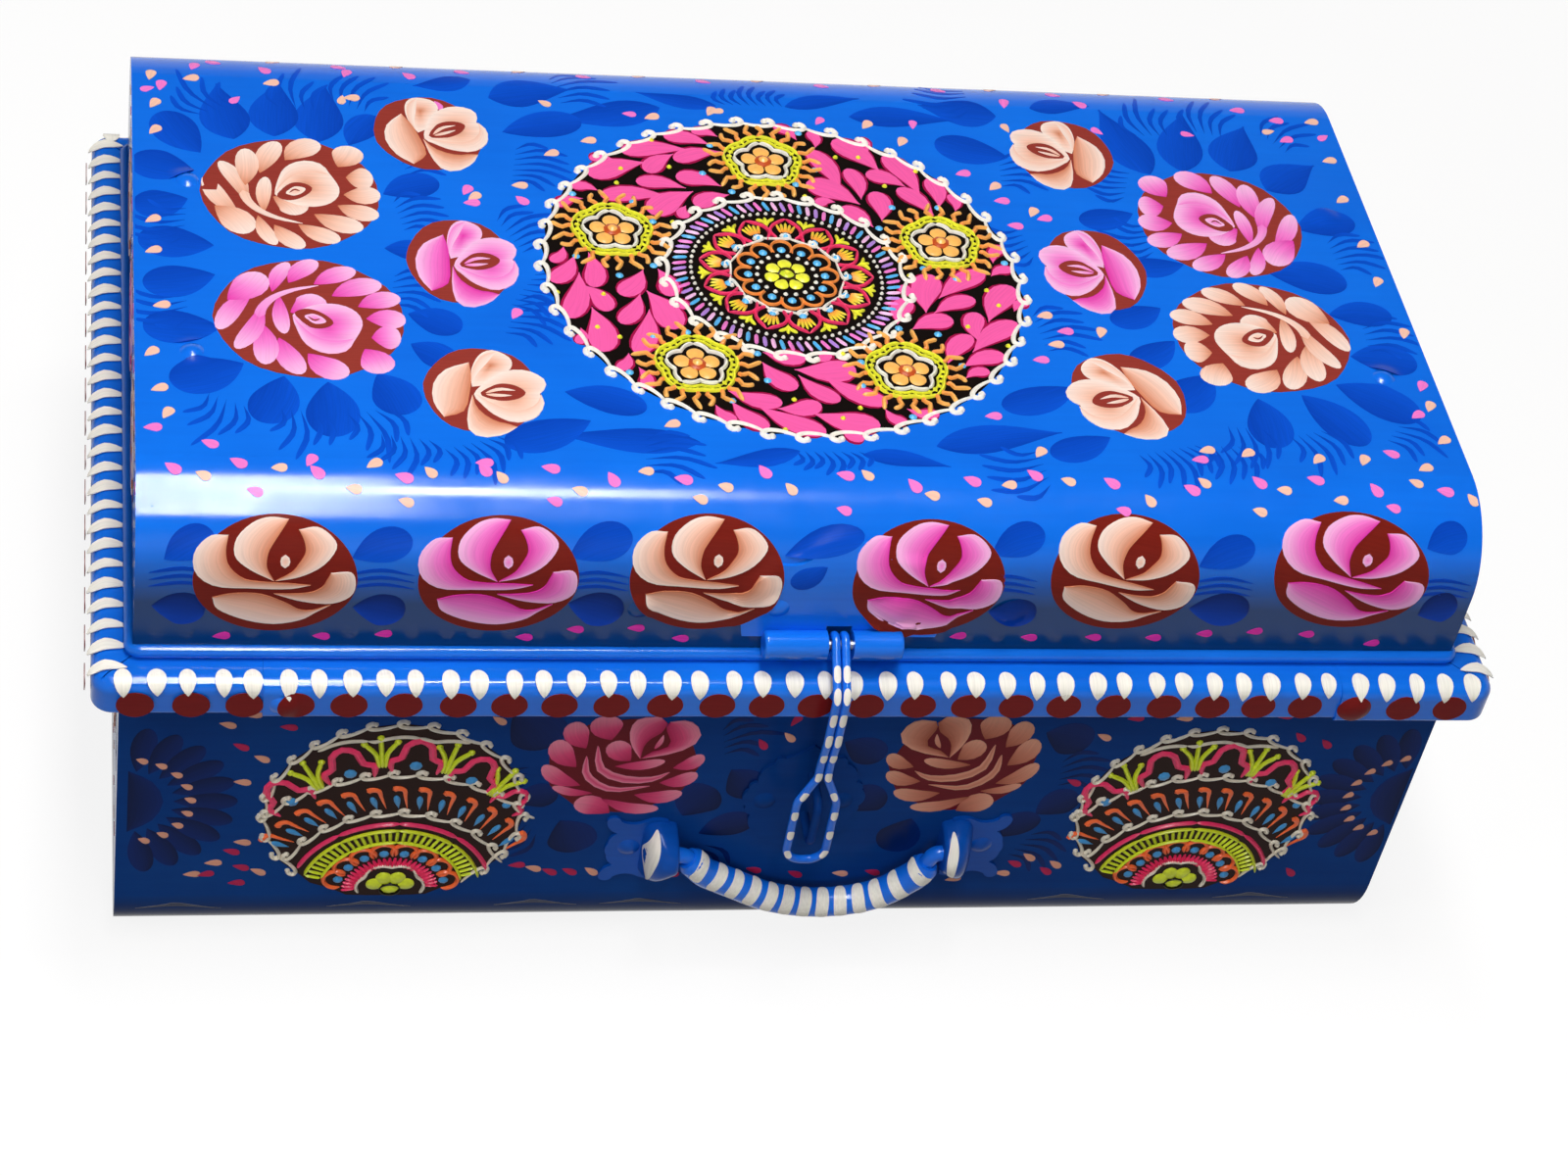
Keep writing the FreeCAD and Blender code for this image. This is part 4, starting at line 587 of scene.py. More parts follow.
topFeathers = [  # x, y, aim, count, length
    (-78, 46, -10, 6, 14), (-82, 12, 24, 6, 14), (-80, -12, -30, 6, 13), (-84, -24, -20, 6, 14),
    (-100, -78, -70, 6, 11), (-118, -76, -100, 5, 11), (-114, 20, 10, 5, 12), (-112, 46, 16, 5, 12),
    (-118, -14, -10, 5, 12), (-176, 14, 176, 5, 14), (-176, -22, 182, 5, 14), (-166, 68, 120, 4, 15),
    (-142, 70, 84, 4, 15), (-126, 72, 60, 4, 14), (-146, -66, -96, 4, 14), (-128, -66, -76, 4, 14),
    (-166, -62, -118, 4, 14), (-62, 84, 10, 5, 15), (-52, -82, -6, 5, 15), (62, -84, 186, 5, 15),
    (70, 88, 178, 5, 15), (74, 50, -6, 5, 13), (72, -26, 6, 6, 14), (76, 16, -172, 5, 12),
    (100, -76, -76, 7, 12), (118, -74, -90, 5, 12), (114, 46, 160, 5, 12), (116, 20, 176, 5, 12),
    (174, 14, 4, 5, 14), (174, -24, -4, 5, 14), (128, 72, 92, 4, 15), (146, 74, 72, 4, 15),
    (168, 70, 36, 4, 14), (144, -68, -74, 4, 14), (126, -66, -98, 4, 14), (172, -66, -40, 4, 12),
    (0, 80, 90, 7, 8), (0, -79, -90, 7, 7),
]
for x, y, aim, count, long in topFeathers:
    feathers("lid_top_leaves", lidTop, x, y, aim, count + 1, long * 1.2)
topFlecks = [  # x, y, pink, turn
    (-185, 84, 0, 80), (-173, 83, 0, 10), (-182, 79, 1, 80), (-184, 70, 0, 60), (-184, 57, 0, 50),
    (-185, 15, 0, 30), (-185, 1, 0, 20), (-183, -23, 0, 10), (-186, -43, 0, 40), (-184, -58, 0, 20),
    (-182, -68, 0, 60), (-186, -74, 1, 0), (-171, -80, 1, -30), (-172, 90, 1, 70), (-151, 89, 1, -50),
    (-149, 82, 0, 10), (-126, 89, 1, 70), (-125, 76, 0, 0), (-107, 89, 1, -50), (-144, -86, 1, 60),
    (-127, -87, 0, 30), (-97, -86, 1, 0), (-93, 33, 1, 60), (-91, 30, 0, 40), (-92, 27, 1, 0), (-77, 36, 0, 0),
    (-77, 29, 1, -50), (-66, 52, 0, 20), (-83, -23, 1, 60), (-54, 59, 0, 10), (-33, 72, 0, 20),
    (-14, 76, 0, 60), (35, 72, 0, 50), (45, 64, 0, 60), (62, 49, 1, 10), (71, 43, 0, 40), (72, 36, 1, 0),
    (81, 31, 0, 60), (84, 28, 1, 10), (74, 24, 1, -10), (75, -18, 0, 10), (80, -25, 1, 0), (91, -25, 0, 70),
    (76, -31, 0, 0), (70, -38, 1, 0), (51, -63, 1, 0), (-43, -69, 0, 20), (62, -78, 0, 50), (82, 86, 1, 80),
    (107, 87, 1, -40), (160, 87, 1, 0), (184, 82, 0, 10), (172, 82, 1, 0), (173, 72, 1, 20), (185, 62, 0, 10),
    (184, 42, 0, 30), (185, 20, 0, 30), (185, 2, 0, 60), (187, -22, 0, 70), (186, -46, 1, 60),
    (186, -55, 0, 60), (181, -59, 1, 30), (186, -70, 0, 30), (168, -76, 1, -30), (159, -79, 0, 60),
    (145, -79, 0, 40), (124, -77, 0, 30), (112, -76, 0, 10), (109, -80, 1, 0), (177, -82, 0, 20),
]
for x, y, pink, turn in topFlecks:
    fleck("lid_top_flecks", lidTop, x, y, "pink" if pink else "peach", 5.0, 3.3, turn)
for x, pink in ((-186, 1), (-160, 1), (-128, 0), (-99, 1), (-66, 0), (-40, 1), (-12, 0), (20, 1), (50, 1),
                (80, 0), (110, 1), (140, 1), (168, 0), (186, 1)):
    fleck("lid_top_flecks", lidSheet, x, 221 + x % 5, "pink" if pink else "peach", turn=30 + x)

topRoses = [  # kind, colour, x, y, turn, across, upwards
    ("great", "pink", 140.3, 27.4, 0, 1, 1), ("great", "peach", 140.9, -24.6, 0, 1.05, -0.97),
    ("great", "peach", -145.2, 28.6, 0, -1.0, 1.0), ("great", "pink", -142.0, -26.4, 0, -1.03, -1.0),
    ("small", "pink", 93.2, 3.6, 0, 1, 1), ("small", "peach", 94.2, 60.6, -12, 1.02, 0.9),
    ("small", "peach", 91.6, -53.8, 22, 1.08, 0.95), ("small", "pink", -95.2, -0.6, 0, -1, 1),
    ("small", "peach", -100.4, 60.2, 18, -1.05, 0.94), ("small", "peach", -93.2, -57.0, -8, -1.05, 0.94),
]
for kind, colour, x, y, turn, across, up in topRoses:
    paintRose = paintGreatRose if kind == "great" else paintSmallRose
    paintRose("lid_top", lidTop, colour, seat((x, y), turn, (across, up)))
print("lid top leaves, flecks and roses painted")


# Relief work: thick outliner squeezed from a cone, standing proud of a black ground.
scrollWay = (  # one running curl: share of its pitch, and height off its line
    (0.13, 0.75), (0.0, 1.05), (-0.14, 0.6), (-0.1, -0.15), (0.15, -0.55), (0.5, -0.45), (0.8, 0.0), (0.98, 0.4),
)


def scroll(film, sheet, where, width, shade, bead, place=atHome):
    line = [where(share, off) for share, off in scrollWay]
    stroke(film, sheet, line, width, "curl", (shade,), 0.25, 0.75, place=place, blank="long")
    dot(film, sheet, line[0], bead[0], shade, bead[1], place)


def scrollRing(centre, radius, count, width=1.9, swing=2.0):
    for k in range(count):
        reach = radius + 0.25 * math.sin(k * 2.3)
        scroll("lid_medallion_white", lidTop,
               lambda share, off: onCircle(360 / count * (k + share), reach + off * swing, centre),
               width, "white", (width * 1.2, 0.825))


def ringLine(film, sheet, centre, radius, shade, width=1.0, rise=0.6, lobes=0, depth=0.0, start=0.0, end=360.0,
             parts=6, place=atHome, squeeze=1.0, first=0.0):
    for k in range(parts):
        a0 = start + (end - start) * k / parts
        a1 = start + (end - start) * (k + 1.02) / parts
        line = []
        for j in range(13):
            a = math.radians(a0 + (a1 - a0) * j / 12)
            r = radius * (1 + depth * (2 * abs(math.cos(lobes / 2 * (a - math.radians(first)))) - 1))
            line.append((centre[0] + r * math.cos(a), centre[1] + squeeze * r * math.sin(a)))
        stroke(film, sheet, line, width, "even", (shade,), 0.22, rise, place=place, blank="long")


def spokes(film, sheet, centre, inner, outer, count, shades, width=0.8, rise=0.5, start=0.0, end=360.0, lean=0.0,
           place=atHome):
    for k in range(count):
        a = start + (end - start) * k / count
        stroke(film, sheet, [onCircle(a, inner, centre), onCircle(a + lean, outer, centre)], width, "dash",
               (shades[k % len(shades)],), 0.24, rise, place=place, blank="bar")


pipes = (stroke, dot, ringLine, spokes)
openFilms("lid_medallion_", "ground sprays", "lid", "lid_enamel")
openFilms("lid_medallion_", "white rosettes rings", "lid", "lid_enamel", "outliner")
medallion = {"centre": (-1.5, -1.2), "radius": 71.8, "heart": (-1.0, -2.4)}
mc, hc = medallion["centre"], medallion["heart"]
wide = 2 * medallion["radius"]
edge = [(mc[0] + x, mc[1] + y) for x, y in oval(wide, wide, 46, 0.008, 96)]
blot("lid_medallion_ground", lidTop, edge, ("black",), 0.12, blank="disc", heart=mc)
scrollRing(mc, 71.6, 46)
sprayLeaves = [  # one fifth of the field, between two rosettes: tail x, y, head x, y, width
    (-22, 57.5, -43, 55.5, 6.4), (-15, 60.5, -29, 64, 5.4), (-12, 64.5, -20, 66.5, 3.4),
    (-36, 50.5, -54, 43, 7.6), (-27, 55, -36, 45.5, 5.6), (-12, 57, -27, 52, 5.6), (-14, 40, -27.5, 44, 6.0),
    (-25, 38.5, -40, 41, 5.2), (-31, 34.5, -51.5, 33.5, 6.2), (-23, 37, -37, 25.5, 8.0),
    (-12, 36, -23, 30, 5.6), (-26, 30, -26.5, 24, 3.4), (-52, 36, -60, 37.5, 3.4), (-57, 32, -65.5, 28, 3.6),
    (-46, 51.5, -53, 51, 3.2),
]
rosetteRings = [  # radius, shade, width, rise, swell of its five lobes
    (7.9, "white", 1.2, 0.8, 0.13), (11.5, "yellow", 1.2, 0.8, 0.06), (9.7, "yellow", 0.8, 0.6, 0.08),
]
tentacles = {"count": 22, "reach": 18.2, "sway": 1.5, "wide": 1.5}
for k in range(5):
    place = seat(mc, 72 * k - 0.5 * (k % 2))
    for x0, y0, x1, y1, width in sprayLeaves:
        line = bowed(x0, y0, x1, y1, 1.3 if k % 2 else -1.3)
        stroke("lid_medallion_sprays", lidTop, line, width * 1.14 + 1.6, "drop", ("wine",), 0.16, place=place)
        stroke("lid_medallion_sprays", lidTop, line, width * 1.14, "drop", ("spray",), 0.22, place=place)
    for x, y in ((-33, 61.5), (-29, 48.6), (-46, 40), (-44, 47), (-31, 22)):
        dot("lid_medallion_rings", lidTop, (x, y), 1.7, "yellow", 0.6, place)
    for x, y in ((-15, 60), (-19, 46), (-11, 37.5), (-42, 31), (-37, 22), (-60, 34)):
        dot("lid_medallion_rings", lidTop, (x, y), 2.4, "sky", 0.6, place)
    rosette = seat(place([(0.6, 52.6)])[0], 72 * k)
    pipe, bead, loop, rays = (partial(tool, "lid_medallion_rosettes", lidTop, place=rosette) for tool in pipes)
    for j in range(5):
        pipe([onCircle(90 + 72 * j, reach) for reach in (1.2, 6.9)], 5.1, "petal", ("amber",), 0.24, 0.5)
    bead((0, 0), 5.4, "rust", 0.6, coat=0.7)
    bead((0, 0), 3.0, "amber", 0.7, coat=1.2)
    for radius, shade, width, rise, depth in rosetteRings:
        loop((0, 0), radius, shade, width, rise, 5, depth, 18, 378, 5, first=90)
    rays((0, 0), 9.6, 11.4, 30, ("yellow",), 0.8, 0.7)
    for j in range(tentacles["count"]):
        out = seat(turn=360 / tentacles["count"] * j + 4)
        sway = tentacles["sway"] * (1 if j % 2 else -1)
        reach = tentacles["reach"] + math.sin(j * 2.1)
        line = out([(11.9, 0), (13.2, 0.4 * sway), (14.8, -0.4 * sway), (16.6, 0.2 * sway), (reach, sway)])
        pipe(line, tentacles["wide"], "even", ("amber", "orange"), 0.24, 0.65)
ring = "lid_medallion_rings"
scrollRing(hc, 36.4, 25)
spokes(ring, lidTop, hc, 29.9, 34.2, 78, ("sky", "pink", "violet", "pinkPale"), 1.3, 0.6, lean=2.5)
for k in range(72):
    dot("lid_medallion_white", lidTop, onCircle(5 * k, 28.6, hc), 1.25, "white", 0.6)
for k in range(13):  # lotus buds, with a sprig between each two
    lotus = seat(hc, 360 / 13 * k)
    left = [(16.4, -2.4), (19.4, -4.6), (22.8, -3.9), (26.4, 0)]
    for line in (left, [(x, -y) for x, y in left]):
        stroke(ring, lidTop, line, 1.1, "even", ("magenta",), 0.24, 0.7, place=lotus)
    for y in (-2.2, -1.1, 0, 1.1, 2.2):
        stroke(ring, lidTop, [(19.6, y * 0.6), (24.6 - abs(y) * 0.6, y * 1.25)], 0.9, "dash",
               ("yellow", "orange"), 0.24, 0.45, place=lotus, blank="bar")
    dot(ring, lidTop, (18.6, 0), 2.5, "sky", 0.7, lotus)
    sprig = seat(hc, 360 / 13 * (k + 0.5))
    for line in ([(22.4, 0), (26.8, 0)], [(22.8, 0), (25, -1), (26, -2.8)], [(22.8, 0), (25, 1), (26, 2.8)]):
        stroke(ring, lidTop, line, 1.2, "drop", ("yellow",), 0.24, 0.6, place=sprig, blank="line")
scrollRing(hc, 17.2, 13, 1.2, 1.2)
for k in range(12):
    loop = seat(hc, 30 * k)
    ringLine(ring, lidTop, (12.4, 0), 3.1, "orange", 0.95, 0.65, start=-128, end=128, parts=1, place=loop)
    dot(ring, lidTop, (11.6, 0), 2.7, "sky", 0.7, loop)
for k in range(18):
    dot("lid_medallion_white", lidTop, onCircle(20 * k, 8.9, hc), 1.5, "white", 0.5)
for k in range(7):
    line = [onCircle(360 / 7 * k + 90, reach, hc) for reach in (1.6, 6.9)]
    stroke(ring, lidTop, line, 4.2, "drop", ("yellow",), 0.24, 0.6)
dot(ring, lidTop, hc, 5.2, "lime", 0.9)
ringLine(ring, lidTop, hc, 2.4, "umber", 0.8, 0.9, parts=2)
dot(ring, lidTop, hc, 2.8, "yellow", 1.6)
print("lid medallion piped,", marks["count"], "marks so far")

# Lid front skirt: six roses over the fittings, leaves between them, flecks above and below.
openFilms("lid_front_", "leaves grounds petals flecks", "lid", "lid_enamel")
frontRoses = [
    ("peach", -153.6, 27.0, 0, 1, 1), ("pink", -93.2, 27.4, 2, 1, 1), ("peach", -35.6, 28.6, -3, 0.98, 1),
    ("pink", 27.6, 27.8, -4, 1, 1), ("peach", 84.6, 30.0, -12, 1.0, 1.0), ("pink", 152.0, 31.4, -13, 1.08, 1.0),
]
for colour, x, s, turn, across, up in frontRoses:
    paintSkirtRose("lid_front", lidSheet, colour, seat((x, s), turn, (across, up)))
frontLeaves = [
    (-183, 33, -170, 40, 9), (-186, 17, -172, 14, 11), (-133, 34, -117, 39, 9), (-132, 17, -118, 14, 11),
    (-74, 35, -57, 41, 10), (-73, 19, -58, 14, 12), (-14, 36, 8, 42, 8), (-2, 33, -12, 28, 6),
    (45, 37, 60, 43, 9), (47, 17, 61, 15, 10), (106, 34, 122, 40, 9), (106, 19, 124, 17, 12),
    (174, 40, 186, 44, 9), (176, 17, 187, 21, 11),
]
for x0, y0, x1, y1, width in frontLeaves:
    shades = ("leaf", "leafDeep") if y0 > 25 else ("leafDeep", "shadeLeaf")
    leafMark("lid_front_leaves", lidSheet, x0, y0, x1, y1, width * 1.1, shades=shades)
for x in (-178, -125, -66, 50, 114, 180):  # three thin lines between each two leaves
    for k in range(3):
        s = 29.5 - 2.3 * k
        line = [(x - 9, s - 0.6), (x, s + 0.8), (x + 9, s - 0.8)]
        stroke("lid_front_leaves", lidSheet, line, 1.2, "leaf", ("leafDeep",), 0.06, blank="leaf")
spot = partial(fleck, "lid_front_flecks", lidSheet)
for k in range(19):
    x = -181 + 20.2 * k
    spot(x + 3 * math.sin(k * 5.1), 58.6 + 2.2 * math.sin(k * 1.7), "pink", 5.2, 3.4,
         -40 + 25 * math.sin(k * 2.9))
    spot(x + 8 + 3 * math.sin(k * 3.1), 56.4 + 3.6 * math.sin(k * 2.3), "peach", 4.4, 3.0,
         -30 + 30 * math.sin(k * 1.3))
    if k % 2:
        spot(x + 1.5, 50.2 + 1.6 * math.sin(k * 1.9), "pink" if k % 4 == 1 else "peach", 4.4, 2.8, -20)
for x, s in ((-167, 5.4), (-140, 5.5), (-123, 6.5), (-84, 5.5), (-70, 8.7), (-53, 9.4), (-40, 5.4), (40, 7),
             (61, 6.6), (80, 6.8), (98, 6.8), (113, 8.6), (128, 9.6), (144, 8.6), (165, 5.0)):
    spot(x, s, "pinkDeep", 4.8, 2.7, 8 * math.sin(x))
print("lid front painted")

# Body front: two half medallions, two roses, half flowers at the ends.
openFilms("body_front_", "leaves grounds petals flecks")
openFilms("body_front_", "relief", finish="outliner")
fan = {
    "round": (-1, 34.0), "radius": 37.6, "foot": -2.6,
    "arcs": [(50.5, 11, 138, 38, 1.6), (34.0, 10, 154, 20, 1.5)],  # radius, curls, first and last angle, swing
    "flowers": [(128, 52.6, 1.0), (106, 56.2, 1.05), (86, 57.6, 1.05), (67, 55.0, 1.0), (50, 51.0, 0.75)],
    "petals": [(-5.4, -5.4), (-6.2, -1.4), (-3.8, 0.2), (-3.0, 4.4), (0, 6.4), (3.0, 4.4), (3.8, 0.2),
               (6.2, -1.4), (5.4, -5.4)],
    "sprigs": [(117, 56), (96, 60), (76.5, 58.5), (58, 55)],
    "blades": ([(0, -6), (0, 0), (0, 6.6)], [(-0.8, -6), (-1.8, 0), (-4.8, 4.4)],
               [(0.8, -6), (1.8, 0), (4.8, 4.4)]),
    "hook": [(-2.6, 3.2), (-1.0, 3.9), (0.9, 3.0), (1.4, 0), (2.3, -4.8)],
    "rings": [(29.4, "magenta", 1.5, 0.8, 160, 17), (26.4, "lime", 1.1, 0.7, 165, 12),
              (21.2, "lime", 1.0, 0.7, 165, 12)],  # radius, shade, width, rise, first and last angle
    "rim": (37.4, 1.6), "piped": (1.5, "cream", (1.6, 0.8)), "arcPiped": (1.5, "cream", (1.8, 0.8)),
}


def paintFan(name, sheet, place):  # a half medallion: arcs round a flower at its foot
    relief = name + "_relief"
    line, daub = brushes(relief, sheet, place)[::2]
    bead, ring, ray, curls = (partial(tool, relief, sheet, place=place) for tool in (*pipes[1:], scroll))
    hub = (0, 0)
    x0, y0 = fan["round"]
    outline = []
    for k in range(40):
        a = 2 * math.pi * k / 40
        r = fan["radius"] + 0.5 * math.cos(20 * a)
        outline.append((r * math.cos(a) + x0, max(y0 + r * math.sin(a), fan["foot"])))
    blot(name + "_grounds", sheet, outline, ("umber",), 0.12, place=place, heart=(x0, 26))

    def seatAt(angle, reach, turn, grow=(1, 1)):
        return seat(place([onCircle(angle, reach)])[0], turn, grow)

    for k in range(21):  # the outer scroll follows the round edge
        reach, swing = fan["rim"]
        curls(lambda share, off: onCircle(222 - 13.2 * (k + share), reach + swing * off, (x0, y0)),
              *fan["piped"])
    for radius, count, start, end, swing in fan["arcs"]:
        step = (end - start) / count
        for k in range(count):
            curls(lambda share, off: onCircle(start + step * (k + share), radius + off * swing),
                  *fan["arcPiped"])
    ring(hub, 66.0, "cream", 0.9, 0.7, 24, 0.012, 112, 74, 3)
    for angle, reach, size in fan["flowers"]:
        flower = seatAt(angle, reach, angle - 90, (1.12 * size, 1.12 * size))
        line(fan["petals"], 1.9, "even", ("magenta",), 0.25, 0.75, place=flower, blank="long")
        bead((0, -2.6), 3.2, "dusk", 0.7, place=flower)
    for angle, reach in fan["sprigs"]:
        sprig = seatAt(angle, reach, angle - 90)
        for blade in fan["blades"]:
            line(blade, 1.5, "even", ("lime",), 0.25, 0.7, place=sprig)
            bead(blade[-1], 2.2, "lime", 0.8, place=sprig)
    for k in range(13):
        angle = 147 - 9.6 * k
        hook = seatAt(angle, 41, angle - 90)
        line(fan["hook"], 2.3, "tail", ("coral",), 0.25, 0.75, place=hook)
        line([(-0.2, -4.8), (-1.4, 0.8)], 1.9, "drop", ("dusk",), 0.25, 0.6, place=hook, blank="line")
    for radius, shade, width, rise, start, end in fan["rings"]:
        ring(hub, radius, shade, width, rise, start=start, end=end, parts=4)
    ray(hub, 21.4, 26.2, 32, ("lime",), 1.1, 0.6, start=165, end=12)
    for k in range(8):
        loop = seatAt(0, 0, 163 - 21.2 * k)
        ring((16.8, 0), 3.7, "coral", 1.4, 0.7, start=-122, end=122, parts=1, place=loop)
        bead((16.2, 0), 3.0, "dusk", 0.7, place=loop)
    for lean in (4, -4):
        ray(hub, 10.2, 14.4, 26, ("magenta",), 1.0, 0.6, start=176, end=4, lean=lean)
    ring((0, 1.6), 9.4, "cream", 1.2, 0.8, 6, 0.07, start=198, end=-18, parts=3)
    for angle in (20, 66, 114, 160):
        c, s = onCircle(angle, 1)
        line([(1.8 * c, 0.6 + 1.6 * s), (7.4 * c, 1.2 + 7.0 * s)], 4.8, "petal", ("lime",), 0.25, 0.7)
    daub([(x, 0.6 + y) for x, y in oval(5.4, 4.0, count=12)], ("lime",), 0.4, 0.8, blank="bud", heart=(0, 0.6))
    ring((0, 0.6), 3.1, "black", 0.7, 0.9, parts=2, squeeze=0.75)


paintFan("body_front", bodySheet, seat((-114.0, 27.6), 0, (1.0, 1.0)))
paintFan("body_front", bodySheet, seat((129.0, 27.0), 0, (0.985, 0.975)))
paintBodyRose("body_front", bodySheet, "rose", seat((-50, 82.5)))
paintBodyRose("body_front", bodySheet, "clay", seat((50.9, 82.8), 0, (-1, 1)))
dusky = ("shadeLeaf", "shadeDeep")
for side, at in ((1, -191), (-1, 193)):  # half flowers at the ends
    def petalEnd(angle, reach):
        x, z = onCircle(angle, reach)
        return at + side * x, 67 + z

    for k in range(11):
        heel, tip = petalEnd(80 - 16 * k, 13), petalEnd(80 - 16 * k, 31)
        if tip[1] < 104:
            leafMark("body_front_leaves", bodySheet, *heel, *tip, 7.2, shades=dusky, bow=0)
    edge = [(0, 80), (7, 75), (10, 67), (7, 59), (0, 54)]
    sweep("body_front_leaves", bodySheet, [(at + side * x, z) for x, z in edge], [(at, z) for x, z in edge],
          dusky, 0.05, blank="leaf")
    for k in range(9):
        fleck("body_front_flecks", bodySheet, *petalEnd(78 - 19 * k, 17.5), "clayPale", 3.6, 2.3, -30 * side)
bodyLeaves = [
    (-84, 104, -72, 90, 15), (-66, 58, -60, 44, 13), (-30, 60, -22, 72, 13), (-18, 80, -10, 68, 11),
    (-80, 66, -68, 70, 9), (14, 92, 26, 84, 10), (40, 58, 34, 44, 12), (74, 96, 88, 90, 12),
    (78, 60, 90, 68, 10), (20, 62, 30, 70, 11), (-24, 52, -8, 58, 9), (64, 50, 80, 58, 9),
]
for x0, y0, x1, y1, width in bodyLeaves:
    leafMark("body_front_leaves", bodySheet, x0, y0, x1, y1, width * 1.15, shades=("shadeDeep", "shadeLeaf"))
for x, y, aim in ((-78, 76, 176), (-76, 56, 220), (-22, 92, 10), (16, 76, 190), (82, 78, 4), (76, 46, -30),
                  (-26, 44, -60)):
    feathers("body_front_leaves", bodySheet, x, y, aim, 5, 15, shades=dusky)
bodyFlecks = [
    (-164, 99, 0, -20), (-147, 98, 1, -10), (-160, 90, 1, -30), (-154, 85, 0, -30), (-159, 75, 0, -10),
    (-158, 49, 0, -10), (-161, 45, 1, -20), (-166, 40, 0, 0), (-158, 38, 1, -20), (-153, 36, 0, -30),
    (-172, 35, 0, 0), (-168, 35, 1, 10), (-159, 31, 1, 0), (-88, 101, 0, -40), (-77, 38, 1, 0),
    (-72, 36.5, 0, -20), (-67, 35, 1, -30), (-61, 35, 1, -30), (-54.5, 35, 0, -40), (-10.5, 91, 1, -60),
    (-3, 94, 0, -50), (-5, 35, 1, -20), (8, 33, 1, -30), (22, 33, 0, -10), (32, 33.5, 1, -20),
    (73, 32.5, 0, -10), (76, 37, 1, -30), (80, 40, 0, -40), (86.5, 33.5, 1, -40), (89, 36.5, 0, -40),
    (92, 94, 0, -30), (87, 74, 1, -30), (153, 94, 1, -50), (162, 91, 1, -50), (166, 32, 1, -50),
    (-2, 101, 1, 60), (-157, 103, 0, 0), (115, 102, 0, 0), (100, 102, 1, 0), (146, 103, 1, 0), (58, 30, 0, 10),
    (-30, 33, 1, 10),
]
for x, y, pink, turn in bodyFlecks:
    fleck("body_front_flecks", bodySheet, x, y, "roseDeep" if pink else "clayPale", 5.0, 2.5, turn)
for x in (-176, -120, -70, -38, 96, 156):  # grey strokes low on the bend
    for k in range(3):
        line = [(x - 12 + 4 * k, 19 + 0.6 * k), (x, 20.6 + 0.5 * k), (x + 13 - k, 18.6)]
        stroke("body_front_flecks", bodySheet, line, 0.8, "leaf", ("ash", "shadeDeep"), 0.10,
               blank="leaf", load="rim")
print("body front painted")

# Ends and back: the same hand, plainer.
for side, tag in ((-1, "left"), (1, "right")):
    for body, height in (("lid", "lidEnd"), ("box", "bodyEnd")):
        sheet = endSheet(side, trunk[height])
        part = "lid" if body == "lid" else "body"
        name = part + "_" + tag
        openFilms(name + "_", "leaves grounds petals flecks", body, part + "_enamel")
        leaf = partial(leafMark, name + "_leaves", sheet)
        spot = partial(fleck, name + "_flecks", sheet)
        if body == "lid":
            for colour, a in (("peach", -52), ("pink", 0), ("peach", 52)):
                paintSkirtRose(name, sheet, colour, seat((a, 152), 0, (0.86 * side, 0.86)))
            for a in (-76, -26, 26, 76):
                leaf(a - 5, 158, a + 5, 164, 7)
                leaf(a - 5, 143, a + 5, 140, 8)
            for k in range(16):
                a = -88 + 11.8 * k
                spot(a, 171 - 0.0004 * a ** 2, "pink" if k % 2 else "peach", turn=30 * k)
        else:
            paintBodyRose(name, sheet, "rose", seat((0, 70), 0, (side, 1)))
            for a, aim in ((-58, 1), (58, -1)):
                paintSkirtRose(name, sheet, "clay", seat((a, 62), 0, (0.8 * aim, 0.8)))
            for a, b, c, d in ((34, 88, 24, 98), (34, 46, 26, 34), (88, 84, 78, 92), (90, 40, 80, 34)):
                for mirror in (-1, 1):
                    leaf(mirror * a, b, mirror * c, d, 10, shades=dusky)
            for a, aim in ((-30, 150), (30, 30), (-84, 160), (84, 20)):
                feathers(name + "_leaves", sheet, a, 66, aim, 5, 12, shades=dusky)
            for k in range(18):
                spot(-94 + 11 * k, 32 + 3 * math.sin(k * 1.9), "roseDeep" if k % 2 else "clayPale",
                     4.6, 2.5, 20 * math.sin(k))
openFilms("lid_back_", "leaves flecks", "lid", "lid_enamel")
openFilms("body_back_", "leaves grounds petals flecks")
for k in range(9):
    x = -152 + 38 * k
    if abs(abs(x) - 105) > 20:  # the hinges stay free
        leafMark("lid_back_leaves", lidBack, x - 9, 28, x + 3, 37, 9)
        leafMark("lid_back_leaves", lidBack, x + 2, 18, x + 16, 13, 10)
    fleck("lid_back_flecks", lidBack, x + 14, 54, "pink", 5, 3.2, -30)
    fleck("lid_back_flecks", lidBack, x - 4, 50, "peach", 4.6, 3, 20)
for x, colour in ((-128, "clay"), (0, "rose"), (128, "clay")):
    paintBodyRose("body_back", bodyBack, colour, seat((x, 66)))
    for a, b, c, d in ((-30, 84, -42, 92), (30, 84, 42, 92), (-30, 48, -42, 38), (30, 48, 42, 38)):
        leafMark("body_back_leaves", bodyBack, x + a, b, x + c, d, 11, shades=dusky)
    for a, aim in ((-30, 180), (30, 0)):
        feathers("body_back_leaves", bodyBack, x + a, 66, aim, 5, 13, shades=dusky)
for k in range(30):
    fleck("body_back_flecks", bodyBack, -180 + 12.4 * k, 31 + 2.5 * math.sin(k * 2.1),
          "roseDeep" if k % 2 else "clayPale", 4.8, 2.5, 20 * math.sin(k))
print("ends and back painted")

